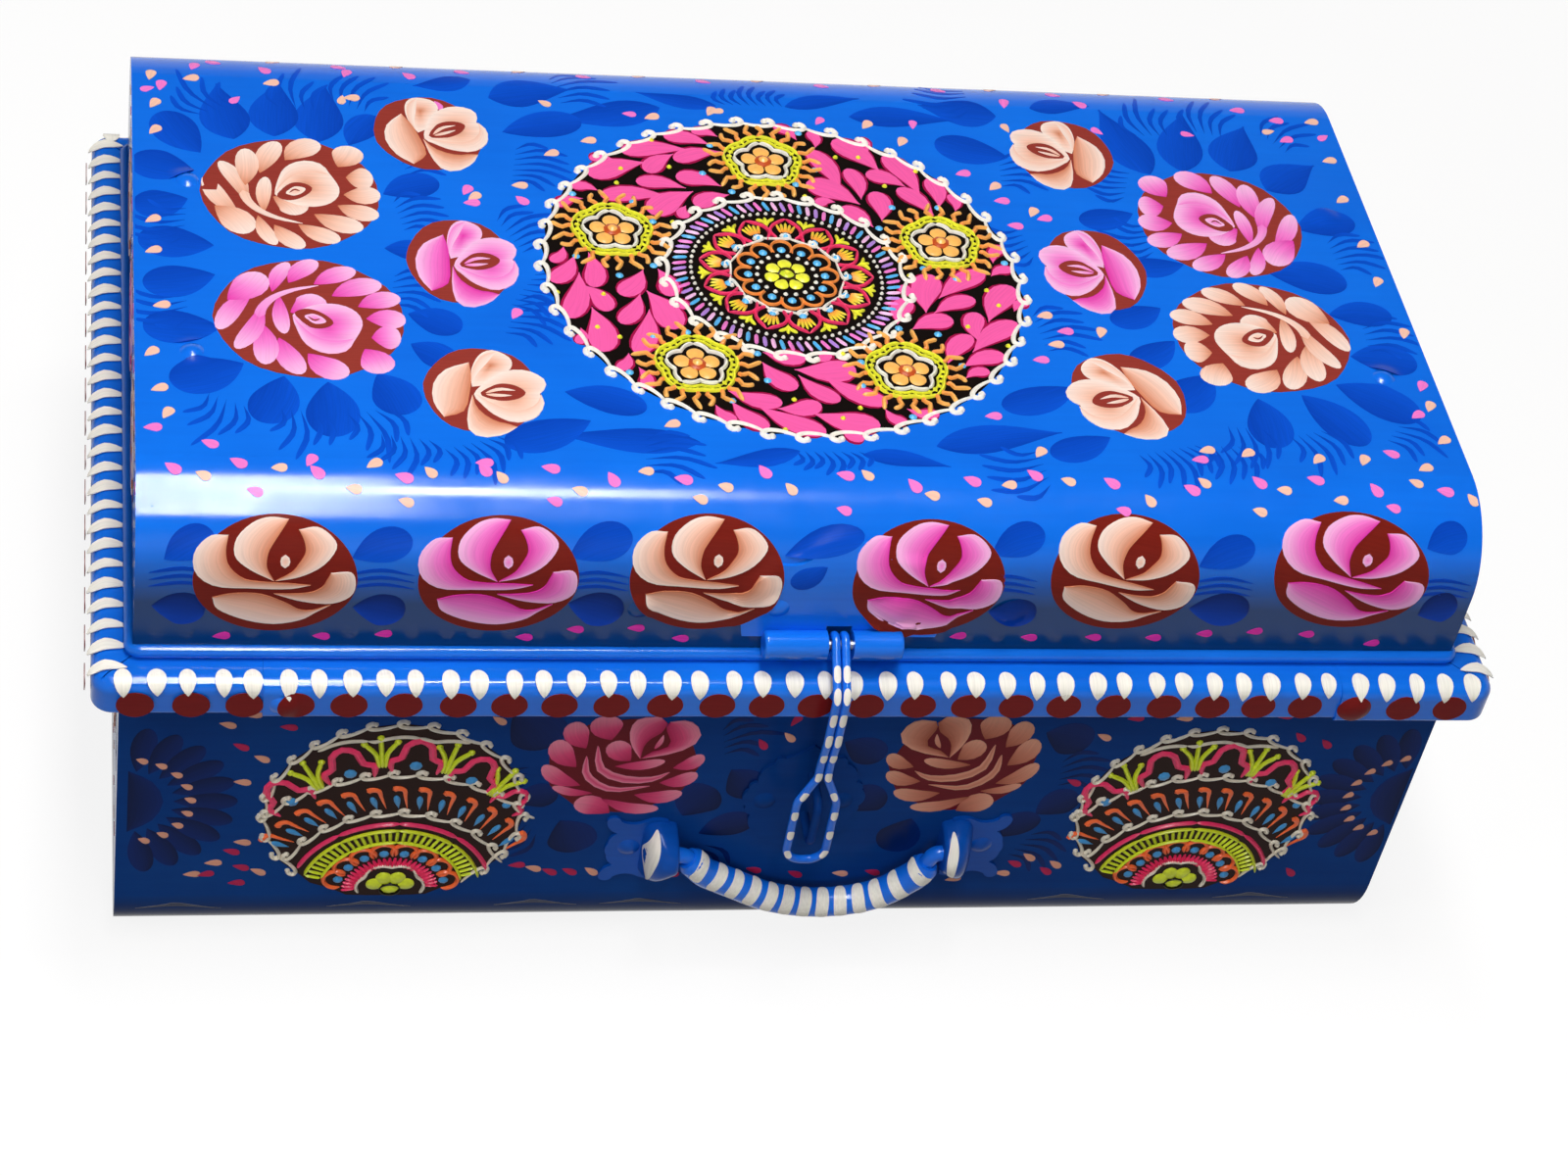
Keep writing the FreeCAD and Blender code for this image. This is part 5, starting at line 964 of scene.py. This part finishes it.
# Rim: white drops round the edge, brick ovals under them.
openFilms("rim_", "white_drops brick_ovals", slot="rim_enamel")
rimDrops = {"count": 45, "from": -193.5, "pitch": 8.85, "wide": 4.9, "heel": 8.3, "head": 17.4}
rimOvals = {"count": 27, "from": -190, "pitch": 14.6, "wide": 9.4, "half": 5.1}
sideDrops = {"count": 30, "from": -114, "pitch": 7.9, "wide": 4.0}
sideOvals = {"count": 16, "from": -110, "pitch": 14.7, "wide": 6.0, "half": 4.2}
for way in ("front", "back"):
    sheet = rimSheet(way)
    for k in range(rimDrops["count"]):
        a = rimDrops["from"] + rimDrops["pitch"] * k + 0.5 * math.sin(k * 2.7)
        line = [(a + 0.4, rimDrops["heel"] + 0.6 * math.sin(k)), (a, rimDrops["head"])]
        stroke("rim_white_drops", sheet, line, rimDrops["wide"] + 0.4 * math.sin(k * 1.9), "petal",
               ("white",), 0.16, blank="leaf")
    for k in range(rimOvals["count"]):
        a = rimOvals["from"] + rimOvals["pitch"] * k + 0.5 * math.sin(k * 1.3)
        line = [(a - rimOvals["half"], 4.6), (a, 5.2), (a + rimOvals["half"], 4.7)]
        stroke("rim_brick_ovals", sheet, line, rimOvals["wide"], "round", ("brick",), 0.12, blank="leaf")
for way, bend in (("left", 1), ("right", -1)):
    sheet = rimSheet(way)
    for k in range(sideDrops["count"]):
        a = sideDrops["from"] + sideDrops["pitch"] * k
        line = [(a + 1.3 * bend, 10.2), (a - 0.7 * bend, 15.2), (a + 0.3 * bend, 21)]
        stroke("rim_white_drops", sheet, line, sideDrops["wide"] + 0.4 * math.sin(k * 2.3), "leaf",
               ("white",), 0.16, blank="leaf")
    for k in range(sideOvals["count"]):
        a = sideOvals["from"] + sideOvals["pitch"] * k
        line = [(a - sideOvals["half"], 3.6), (a, 4.4), (a + sideOvals["half"], 3.6)]
        stroke("rim_brick_ovals", sheet, line, sideOvals["wide"], "round", ("brick",), 0.12, blank="leaf")
print("rim painted")


# White bands round the handle grip and dashes down the hasp link.
openFilms("grip_", "white_bands", "handle", "fitting_enamel")
openFilms("link_", "white_dashes", "hasp", "fitting_enamel")


def bandSheet(skin, centre, axis, toward):  # wrapped round a wire that runs along the axis
    axis = np.array(axis) / np.linalg.norm(axis)
    toward = np.array(toward, float)
    toward -= axis * toward.dot(axis)
    toward /= np.linalg.norm(toward)
    side = np.cross(toward, axis)

    def sheet(flat):  # around in degrees, and along the wire
        a = np.radians(flat[:, 0])[:, None]
        out = toward * np.cos(a) - side * np.sin(a)
        places = np.array(centre) + axis * flat[:, 1][:, None] + out
        return settle(skin, places, out, np.ones(len(flat), bool), 9.0)

    return sheet


gripSkin = skinOf("handle_grip", "handle_wire")
bowPlane = (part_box("handle_wire")[0].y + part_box("handle_wire")[1].y) / 2


def gripCentre(x):  # the middle of the grip, between a ray from above and one from below
    above = gripSkin.ray_cast(Vector((x * mm, bowPlane, 0.2)), Vector((0, 0, -1)), 0.3)[0]
    below = gripSkin.ray_cast(Vector((x * mm, bowPlane, -0.1)), Vector((0, 0, 1)), 0.3)[0]
    return np.array([x, bowPlane / mm, (above.z + below.z) / 2 / mm])


gripLow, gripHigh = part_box("handle_grip")
gripBands = {"count": 13, "inset": 5, "wide": 3.9, "low": -112, "high": 44}  # low and high: turns in degrees
inset = gripBands["inset"]
for x in np.linspace(gripLow.x / mm + inset, gripHigh.x / mm - inset, gripBands["count"]):
    here, ahead = gripCentre(x), gripCentre(x + 1.2) - gripCentre(x - 1.2)
    sheet = bandSheet(gripSkin, here, ahead, (0, -1, 0.25))
    stroke("grip_white_bands", sheet, [(gripBands["low"], 0.7), (0, 0), (gripBands["high"], 0.5)],
           gripBands["wide"], "dash", ("white",), 0.14, blank="long")
openFilms("ear_", "white_bands")
earSkin = skinOf("handle_left_ear", "handle_right_ear")


ears = {"plane": -112.5, "reach": 16.0, "wide": 3.2,
        "bands": ([(-38.9, 37.2), (-39.4, 48), (-37.4, 57.6)], [(53.8, 38.4), (51.8, 49), (52.6, 57)])}


def earSheet(flat):  # across and up, laid on the ears from the front
    places = np.stack([flat[:, 0], np.full(len(flat), ears["plane"]), flat[:, 1]], 1)
    ahead = np.tile([0.0, -1.0, 0.0], (len(flat), 1))
    return settle(earSkin, places, ahead, np.ones(len(flat), bool), ears["reach"])


for points in ears["bands"]:
    stroke("ear_white_bands", earSheet, points, ears["wide"], "drop", ("white",), 0.3, blank="long")
linkSkin = skinOf("hasp_link")
linkLow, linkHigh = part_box("hasp_link")


def linkWires(z):  # where the wires stand at one height, found by rays shot from in front
    found, run, rays = [], [], 260
    for k in range(rays):
        x = linkLow.x - mm + (linkHigh.x - linkLow.x + 2 * mm) * k / (rays - 1)
        hit = linkSkin.ray_cast(Vector((x, linkLow.y - 0.01, z * mm)), Vector((0, 1, 0)), 0.05)
        if hit[0] is not None:
            run.append((x / mm, hit[0].y / mm))
        elif run:
            found.append(run)
            run = []
    return [(sum(p[0] for p in r) / len(r), min(p[1] for p in r)) for r in found + ([run] if run else [])]


linkDashes = {"from": 4.6, "pitch": 8.4, "count": 9, "top": 76, "onEye": 6, "short": 1.8, "long": 2.5,
              "around": 96, "wire": 1.25}
for k in range(linkDashes["count"] + 1):
    up = linkDashes["from"] + linkDashes["pitch"] * k if k < linkDashes["count"] else linkDashes["top"]
    z = linkLow.z / mm + up
    half = linkDashes["short"] if k < linkDashes["onEye"] else linkDashes["long"]
    for (x0, y0), (x1, y1) in zip(linkWires(z - 1), linkWires(z + 1)):
        way = Vector((x1 - x0, y1 - y0, 2)).normalized()
        out = Vector((0, -way.z, way.y))
        centre = Vector(((x0 + x1) / 2, (y0 + y1) / 2, z)) - out * linkDashes["wire"]
        sheet = bandSheet(linkSkin, tuple(centre), tuple(way), tuple(out))
        stroke("link_white_dashes", sheet, [(0, -half), (0, half)], linkDashes["around"], "dash",
               ("white",), 0.10, blank="petal")
print("fittings painted")


# Materials.
def node(tree, kind, inputs=None, **settings):  # an input takes a value, a socket, or the first output of a node
    made = tree.nodes.new("ShaderNode" + kind)
    for name, value in settings.items():
        setattr(made, name, value)
    for key, given in (inputs or {}).items():
        source = given.outputs[0] if isinstance(given, bpy.types.Node) else given
        if isinstance(source, bpy.types.NodeSocket):
            tree.links.new(source, made.inputs[key])
        else:
            made.inputs[key].default_value = source
    return made


def newMaterial(name):
    material = bpy.data.materials.new(name)
    material.use_nodes = True
    tree = material.node_tree
    tree.nodes.clear()
    return material, tree


def coated(material, tree, inputs):
    node(tree, "OutputMaterial", {"Surface": node(tree, "BsdfPrincipled", inputs)})
    return material


def straightRays(tree):  # 1 for what the camera sees, also in metal and through glass, and 0 for light
    path = node(tree, "LightPath").outputs
    seen = node(tree, "Math", {0: path["Is Camera Ray"], 1: path["Is Glossy Ray"]}, operation="ADD")
    return node(tree, "Math", {0: seen, 1: path["Is Transmission Ray"]}, operation="ADD", use_clamp=True)


# Synthetic enamel brushed and flowed out over sheet steel: deep glossy colour, faint orange peel, broad tonal
# drift where the coat is thicker, brush streaks along the trunk, dust nibs, and smudges in the gloss.
coat = {"drift": 55, "peel": 2.6, "waves": 16, "nibs": 9, "smudge": 30}  # their size in millimetres


def flowedEnamel(name, base, deep, peel=0.018, gloss=0.13, level=0.25, low=None):
    material, tree = newMaterial(name)
    where = node(tree, "TexCoord").outputs["Object"]
    drift = node(tree, "TexNoise", {"Scale": 1000 / coat["drift"], "Detail": 3, "Vector": where})
    streak = node(tree, "Mapping", {"Scale": (18, 300, 300), "Vector": where})
    brush = node(tree, "TexNoise", {"Scale": 1.6, "Detail": 4, "Vector": streak})
    blend = node(tree, "Math", {0: brush, 1: 0.3}, operation="MULTIPLY")
    total = node(tree, "Math", {0: drift, 1: blend}, operation="ADD")
    share = node(tree, "MapRange", {"Value": total, "From Min": 0.45, "From Max": 0.95})
    paint = node(tree, "Mix", {0: share, 6: tone(base), 7: tone(deep)}, data_type="RGBA").outputs[2]
    orange = node(tree, "TexNoise", {"Scale": 1000 / coat["peel"], "Detail": 2, "Vector": where})
    waves = node(tree, "TexNoise", {"Scale": 1000 / coat["waves"], "Detail": 2, "Vector": where})
    nibs = node(tree, "TexVoronoi", {"Scale": 1000 / coat["nibs"], "Vector": where})
    nib = node(tree, "MapRange", {"Value": nibs, "From Min": 0.0, "From Max": 0.035, "To Min": 1.0,
                                  "To Max": 0.0})
    first = node(tree, "Bump", {"Strength": 0.5, "Distance": peel * mm, "Height": orange})
    second = node(tree, "Bump", {"Strength": 0.6, "Distance": 0.12 * mm, "Height": waves, "Normal": first})
    third = node(tree, "Bump", {"Strength": 0.7, "Distance": 0.05 * mm, "Height": nib, "Normal": second})
    smudge = node(tree, "TexNoise", {"Scale": 1000 / coat["smudge"], "Detail": 5, "Roughness": 0.65,
                                     "Vector": where})
    rough = node(tree, "MapRange", {"Value": smudge, "From Min": 0.35, "From Max": 0.7, "To Min": gloss,
                                    "To Max": gloss + 0.12})
    if low:  # a darker blue blended in low down: on the body it is painted shade along the bottom bend, which faces down and away from the light; on the lid it makes the lower front skirt darker
        height = node(tree, "SeparateXYZ", {0: where}).outputs[2]
        fade = node(tree, "MapRange", {"Value": height, "From Min": low["from"] * mm,
                                       "From Max": low["to"] * mm})
        paint = node(tree, "Mix", {0: fade, 6: tone(low["shade"]), 7: paint}, data_type="RGBA").outputs[2]
    return coated(material, tree, {"Base Color": paint, "Roughness": rough, "Normal": third, "IOR": 1.5,
                                   "Specular IOR Level": level})


# Brush-loaded enamel on top of the coat: two colours pulled together, fine bristle lines 0.4 mm apart.
def brushedEnamel(name):
    material, tree = newMaterial(name)
    tint = node(tree, "Attribute", attribute_name="tint").outputs["Color"]
    grain = node(tree, "Attribute", attribute_name="grain").outputs["Vector"]
    drawn = node(tree, "Mapping", {"Scale": (0.09, 2.2, 1), "Vector": grain})
    bristle = node(tree, "TexNoise", {"Scale": 1.0, "Detail": 3, "Vector": drawn})
    pale = node(tree, "MapRange", {"Value": bristle, "From Min": 0.35, "From Max": 0.68, "To Min": 0.93,
                                   "To Max": 1.05})
    colour = node(tree, "VectorMath", {0: tint, 1: pale}, operation="MULTIPLY")
    bump = node(tree, "Bump", {"Strength": 0.35, "Distance": 0.03 * mm, "Height": bristle})
    return coated(material, tree, {"Base Color": colour, "Roughness": 0.2, "Normal": bump, "IOR": 1.5,
                                   "Specular IOR Level": 0.05})


# Piped outliner: thick glossy paint squeezed in lines, rounded on top and slightly lumpy every 1.5 mm.
def pipedOutliner(name):
    material, tree = newMaterial(name)
    tint = node(tree, "Attribute", attribute_name="tint").outputs["Color"]
    where = node(tree, "TexCoord").outputs["Object"]
    lumps = node(tree, "TexNoise", {"Scale": 1000 / 1.5, "Detail": 2, "Vector": where})
    pale = node(tree, "MapRange", {"Value": lumps, "From Min": 0.3, "From Max": 0.7, "To Min": 0.95,
                                   "To Max": 1.1})
    colour = node(tree, "VectorMath", {0: tint, 1: pale}, operation="MULTIPLY")
    bump = node(tree, "Bump", {"Strength": 0.4, "Distance": 0.12 * mm, "Height": lumps})
    return coated(material, tree, {"Base Color": colour, "Roughness": 0.3, "Normal": bump, "IOR": 1.48,
                                   "Specular IOR Level": 0.3})


# Bright drawn steel wire, left bare where it turns in the hinge: a fine grey mottle 0.6 mm across.
def drawnSteel(name):
    material, tree = newMaterial(name)
    where = node(tree, "TexCoord").outputs["Object"]
    lines = node(tree, "TexNoise", {"Scale": 1000 / 0.6, "Detail": 3, "Vector": where})
    metal = node(tree, "Mix", {0: lines, 6: tone("#8d8f90"), 7: tone("#b9bcbd")}, data_type="RGBA").outputs[2]
    rough = node(tree, "MapRange", {"Value": lines, "To Min": 0.25, "To Max": 0.45})
    return coated(material, tree, {"Base Color": metal, "Roughness": rough, "Metallic": 1.0})


finishes = {
    # The body's blue is a darker copy of the lid's blue: painted shade, for the body stands in shade under the
    # rim. Its low blend is painted shade along the bottom bend, which faces down, away from the light.
    "body": flowedEnamel("flowed_enamel_body", "#0f448e", "#0c367c", level=0.02,
                         low={"from": 10, "to": 26, "shade": "#031a44"}),
    "lid": flowedEnamel("flowed_enamel_lid", "#0e76f0", "#0b6ae2",
                        low={"from": 146, "to": 164, "shade": "#043b76"}),
    "rim": flowedEnamel("flowed_enamel_rim", "#1476ea", "#0d66d8", 0.014, 0.10),
    "fitting": flowedEnamel("brushed_enamel_fittings", "#1478f0", "#0b62d8", 0.03, 0.12),
    # The ears take a blue between the body's and the fittings': partly their own lighter paint, partly painted
    # light on the knuckles, which face up and forward to the lamps.
    "ear": flowedEnamel("brushed_enamel_ears", "#0c55ba", "#084298", 0.03, 0.12, 0.1),
    "steel": drawnSteel("drawn_steel_wire"),
    "brushed": brushedEnamel("brush_loaded_enamel"),
    "outliner": pipedOutliner("piped_outliner"),
}
nodeFinish = {"lid": "lid", "rim": "rim", "body": "body", "left": "body", "right": "body", "lock": "body"}
for name, piece in nodes.items():
    finish = nodeFinish.get(name.split("_")[0], "fitting")
    if name in ("hinge_pins", "lid_bead_wire", "hasp_pin"):
        finish = "steel"
    if name == "lid_bead":
        finish = "rim"
    if name in ("handle_left_ear", "handle_right_ear", "handle_ear_rivets"):
        finish = "ear"
    piece.data.materials.clear()
    piece.data.materials.append(finishes[finish])
print("materials on the steel pieces")


# Films become pieces.
for name, store in films.items():
    if not store["count"]:
        continue
    mesh = bpy.data.meshes.new(name)
    mesh.from_pydata(np.vstack(store["points"]).tolist(), [], store["faces"])
    tint = mesh.attributes.new("tint", "FLOAT_COLOR", "POINT")
    tint.data.foreach_set("color", np.vstack(store["tints"]).astype(np.float32).ravel())
    grain = mesh.attributes.new("grain", "FLOAT_VECTOR", "POINT")
    grain.data.foreach_set("vector", np.vstack(store["grains"]).astype(np.float32).ravel())
    piece = bpy.data.objects.new(name, mesh)
    bpy.context.scene.collection.objects.link(piece)
    bpy.ops.object.select_all(action="DESELECT")
    piece.select_set(True)
    bpy.context.view_layer.objects.active = piece
    bpy.ops.object.shade_smooth_by_angle(angle=math.radians(40))
    mesh.materials.append(finishes[store["finish"]])
    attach(piece, store["body"])
    print("film", name, len(mesh.polygons), "faces")

# Floor, light and camera: a white photo table, with its shadow near the trunk and plain white further out.
stage = {"floor": "#777675", "size": 9.0, "glow": 0.86, "near": 0.5, "far": 2.2, "ceiling": 0.07}
bpy.ops.object.select_all(action="DESELECT")
bpy.ops.mesh.primitive_plane_add(size=stage["size"], location=(0, 0, 0))
floor = bpy.context.object
floor.name = "studio_floor"
material, tree = newMaterial("pale_studio_floor")
away = node(tree, "VectorMath", {0: node(tree, "TexCoord").outputs["Object"]}, operation="LENGTH")
level = node(tree, "MapRange", {"Value": away.outputs["Value"], "From Min": stage["near"],
                                "From Max": stage["far"], "To Min": stage["glow"], "To Max": 1.0})
share = node(tree, "Math", {0: straightRays(tree), 1: level}, operation="MULTIPLY")
matte = node(tree, "BsdfDiffuse", {"Color": tone(stage["floor"])})
glow = node(tree, "Emission", {"Color": (1, 1, 1, 1), "Strength": share})
node(tree, "OutputMaterial", {"Surface": node(tree, "AddShader", {0: matte, 1: glow})})
floor.data.materials.append(material)

world = bpy.data.worlds.new("studio")
world.use_nodes = True
tree = world.node_tree
tree.nodes.clear()
height = node(tree, "SeparateXYZ", {0: node(tree, "TexCoord").outputs["Generated"]}).outputs[2]
horizon = node(tree, "MapRange", {"Value": height, "From Min": 0.25, "From Max": 0.55, "To Min": 1.0,
                                  "To Max": 0.1})  # white near the horizon, a dim ceiling above
strength = node(tree, "Mix", {0: straightRays(tree), 2: stage["ceiling"], 3: horizon})
node(tree, "OutputWorld", {"Surface": node(tree, "Background", {"Color": (1, 1, 1, 1), "Strength": strength})})
bpy.context.scene.world = world

# The glints stand just under the softboxes and show only in the gloss. The fills show only in the flat paint.
lamps = [  # name, place, aim, width, length, power, shows in the flat paint, shows in the gloss
    ("long_softbox", (-0.11, -0.35, 1.37), (-0.11, -0.35, 0), 0.16, 1.28, 11.6, True, True),
    ("small_softbox", (0.065, -0.13, 1.37), (0.065, -0.13, 0), 0.19, 0.24, 3.0, True, True),
    ("long_glint", (-0.11, -0.35, 1.36), (-0.11, -0.35, 0), 0.14, 1.2, 20.0, False, True),
    ("small_glint", (0.065, -0.13, 1.36), (0.065, -0.13, 0), 0.19, 0.2, 5.0, False, True),
    ("front_fill", (-0.25, -1.6, 0.8), (0, -0.1, 0.08), 1.1, 0.6, 5.6, True, False),
    ("left_fill", (-0.85, -0.6, 0.8), (-0.15, -0.05, 0.1), 0.4, 0.4, 1.8, True, False),
]
for name, place, aim, width, length, power, flat, gloss in lamps:
    data = bpy.data.lights.new(name, "AREA")
    data.shape = "RECTANGLE"
    data.size = width
    data.size_y = length
    data.energy = power
    lamp = bpy.data.objects.new(name, data)
    lamp.location = place
    lamp.rotation_euler = (Vector(aim) - Vector(place)).to_track_quat("-Z", "Y").to_euler()
    lamp.visible_diffuse = flat
    lamp.visible_glossy = gloss
    bpy.context.scene.collection.objects.link(lamp)

view = {"place": (-0.20832, -0.7784, 0.8181), "yaw": 16.26, "pitch": 43.67, "roll": 11.89, "lens": 79.58}
yaw, pitch, roll = (math.radians(view[k]) for k in ("yaw", "pitch", "roll"))
ahead = Vector((math.sin(yaw) * math.cos(pitch), math.cos(yaw) * math.cos(pitch), -math.sin(pitch)))
level = Vector((math.cos(yaw), -math.sin(yaw), 0))
upright = level.cross(ahead)
right = math.cos(roll) * level + math.sin(roll) * upright
up = -math.sin(roll) * level + math.cos(roll) * upright
data = bpy.data.cameras.new("photo_camera")
data.lens = view["lens"]
data.sensor_width = 36
camera = bpy.data.objects.new("photo_camera", data)
turn = Matrix((right, up, -ahead)).transposed().to_4x4()
camera.matrix_world = Matrix.Translation(view["place"]) @ turn
bpy.context.scene.collection.objects.link(camera)
bpy.context.scene.camera = camera
bpy.context.scene.view_settings.view_transform = "Standard"

print("scene ready,", marks["count"], "marks of paint")
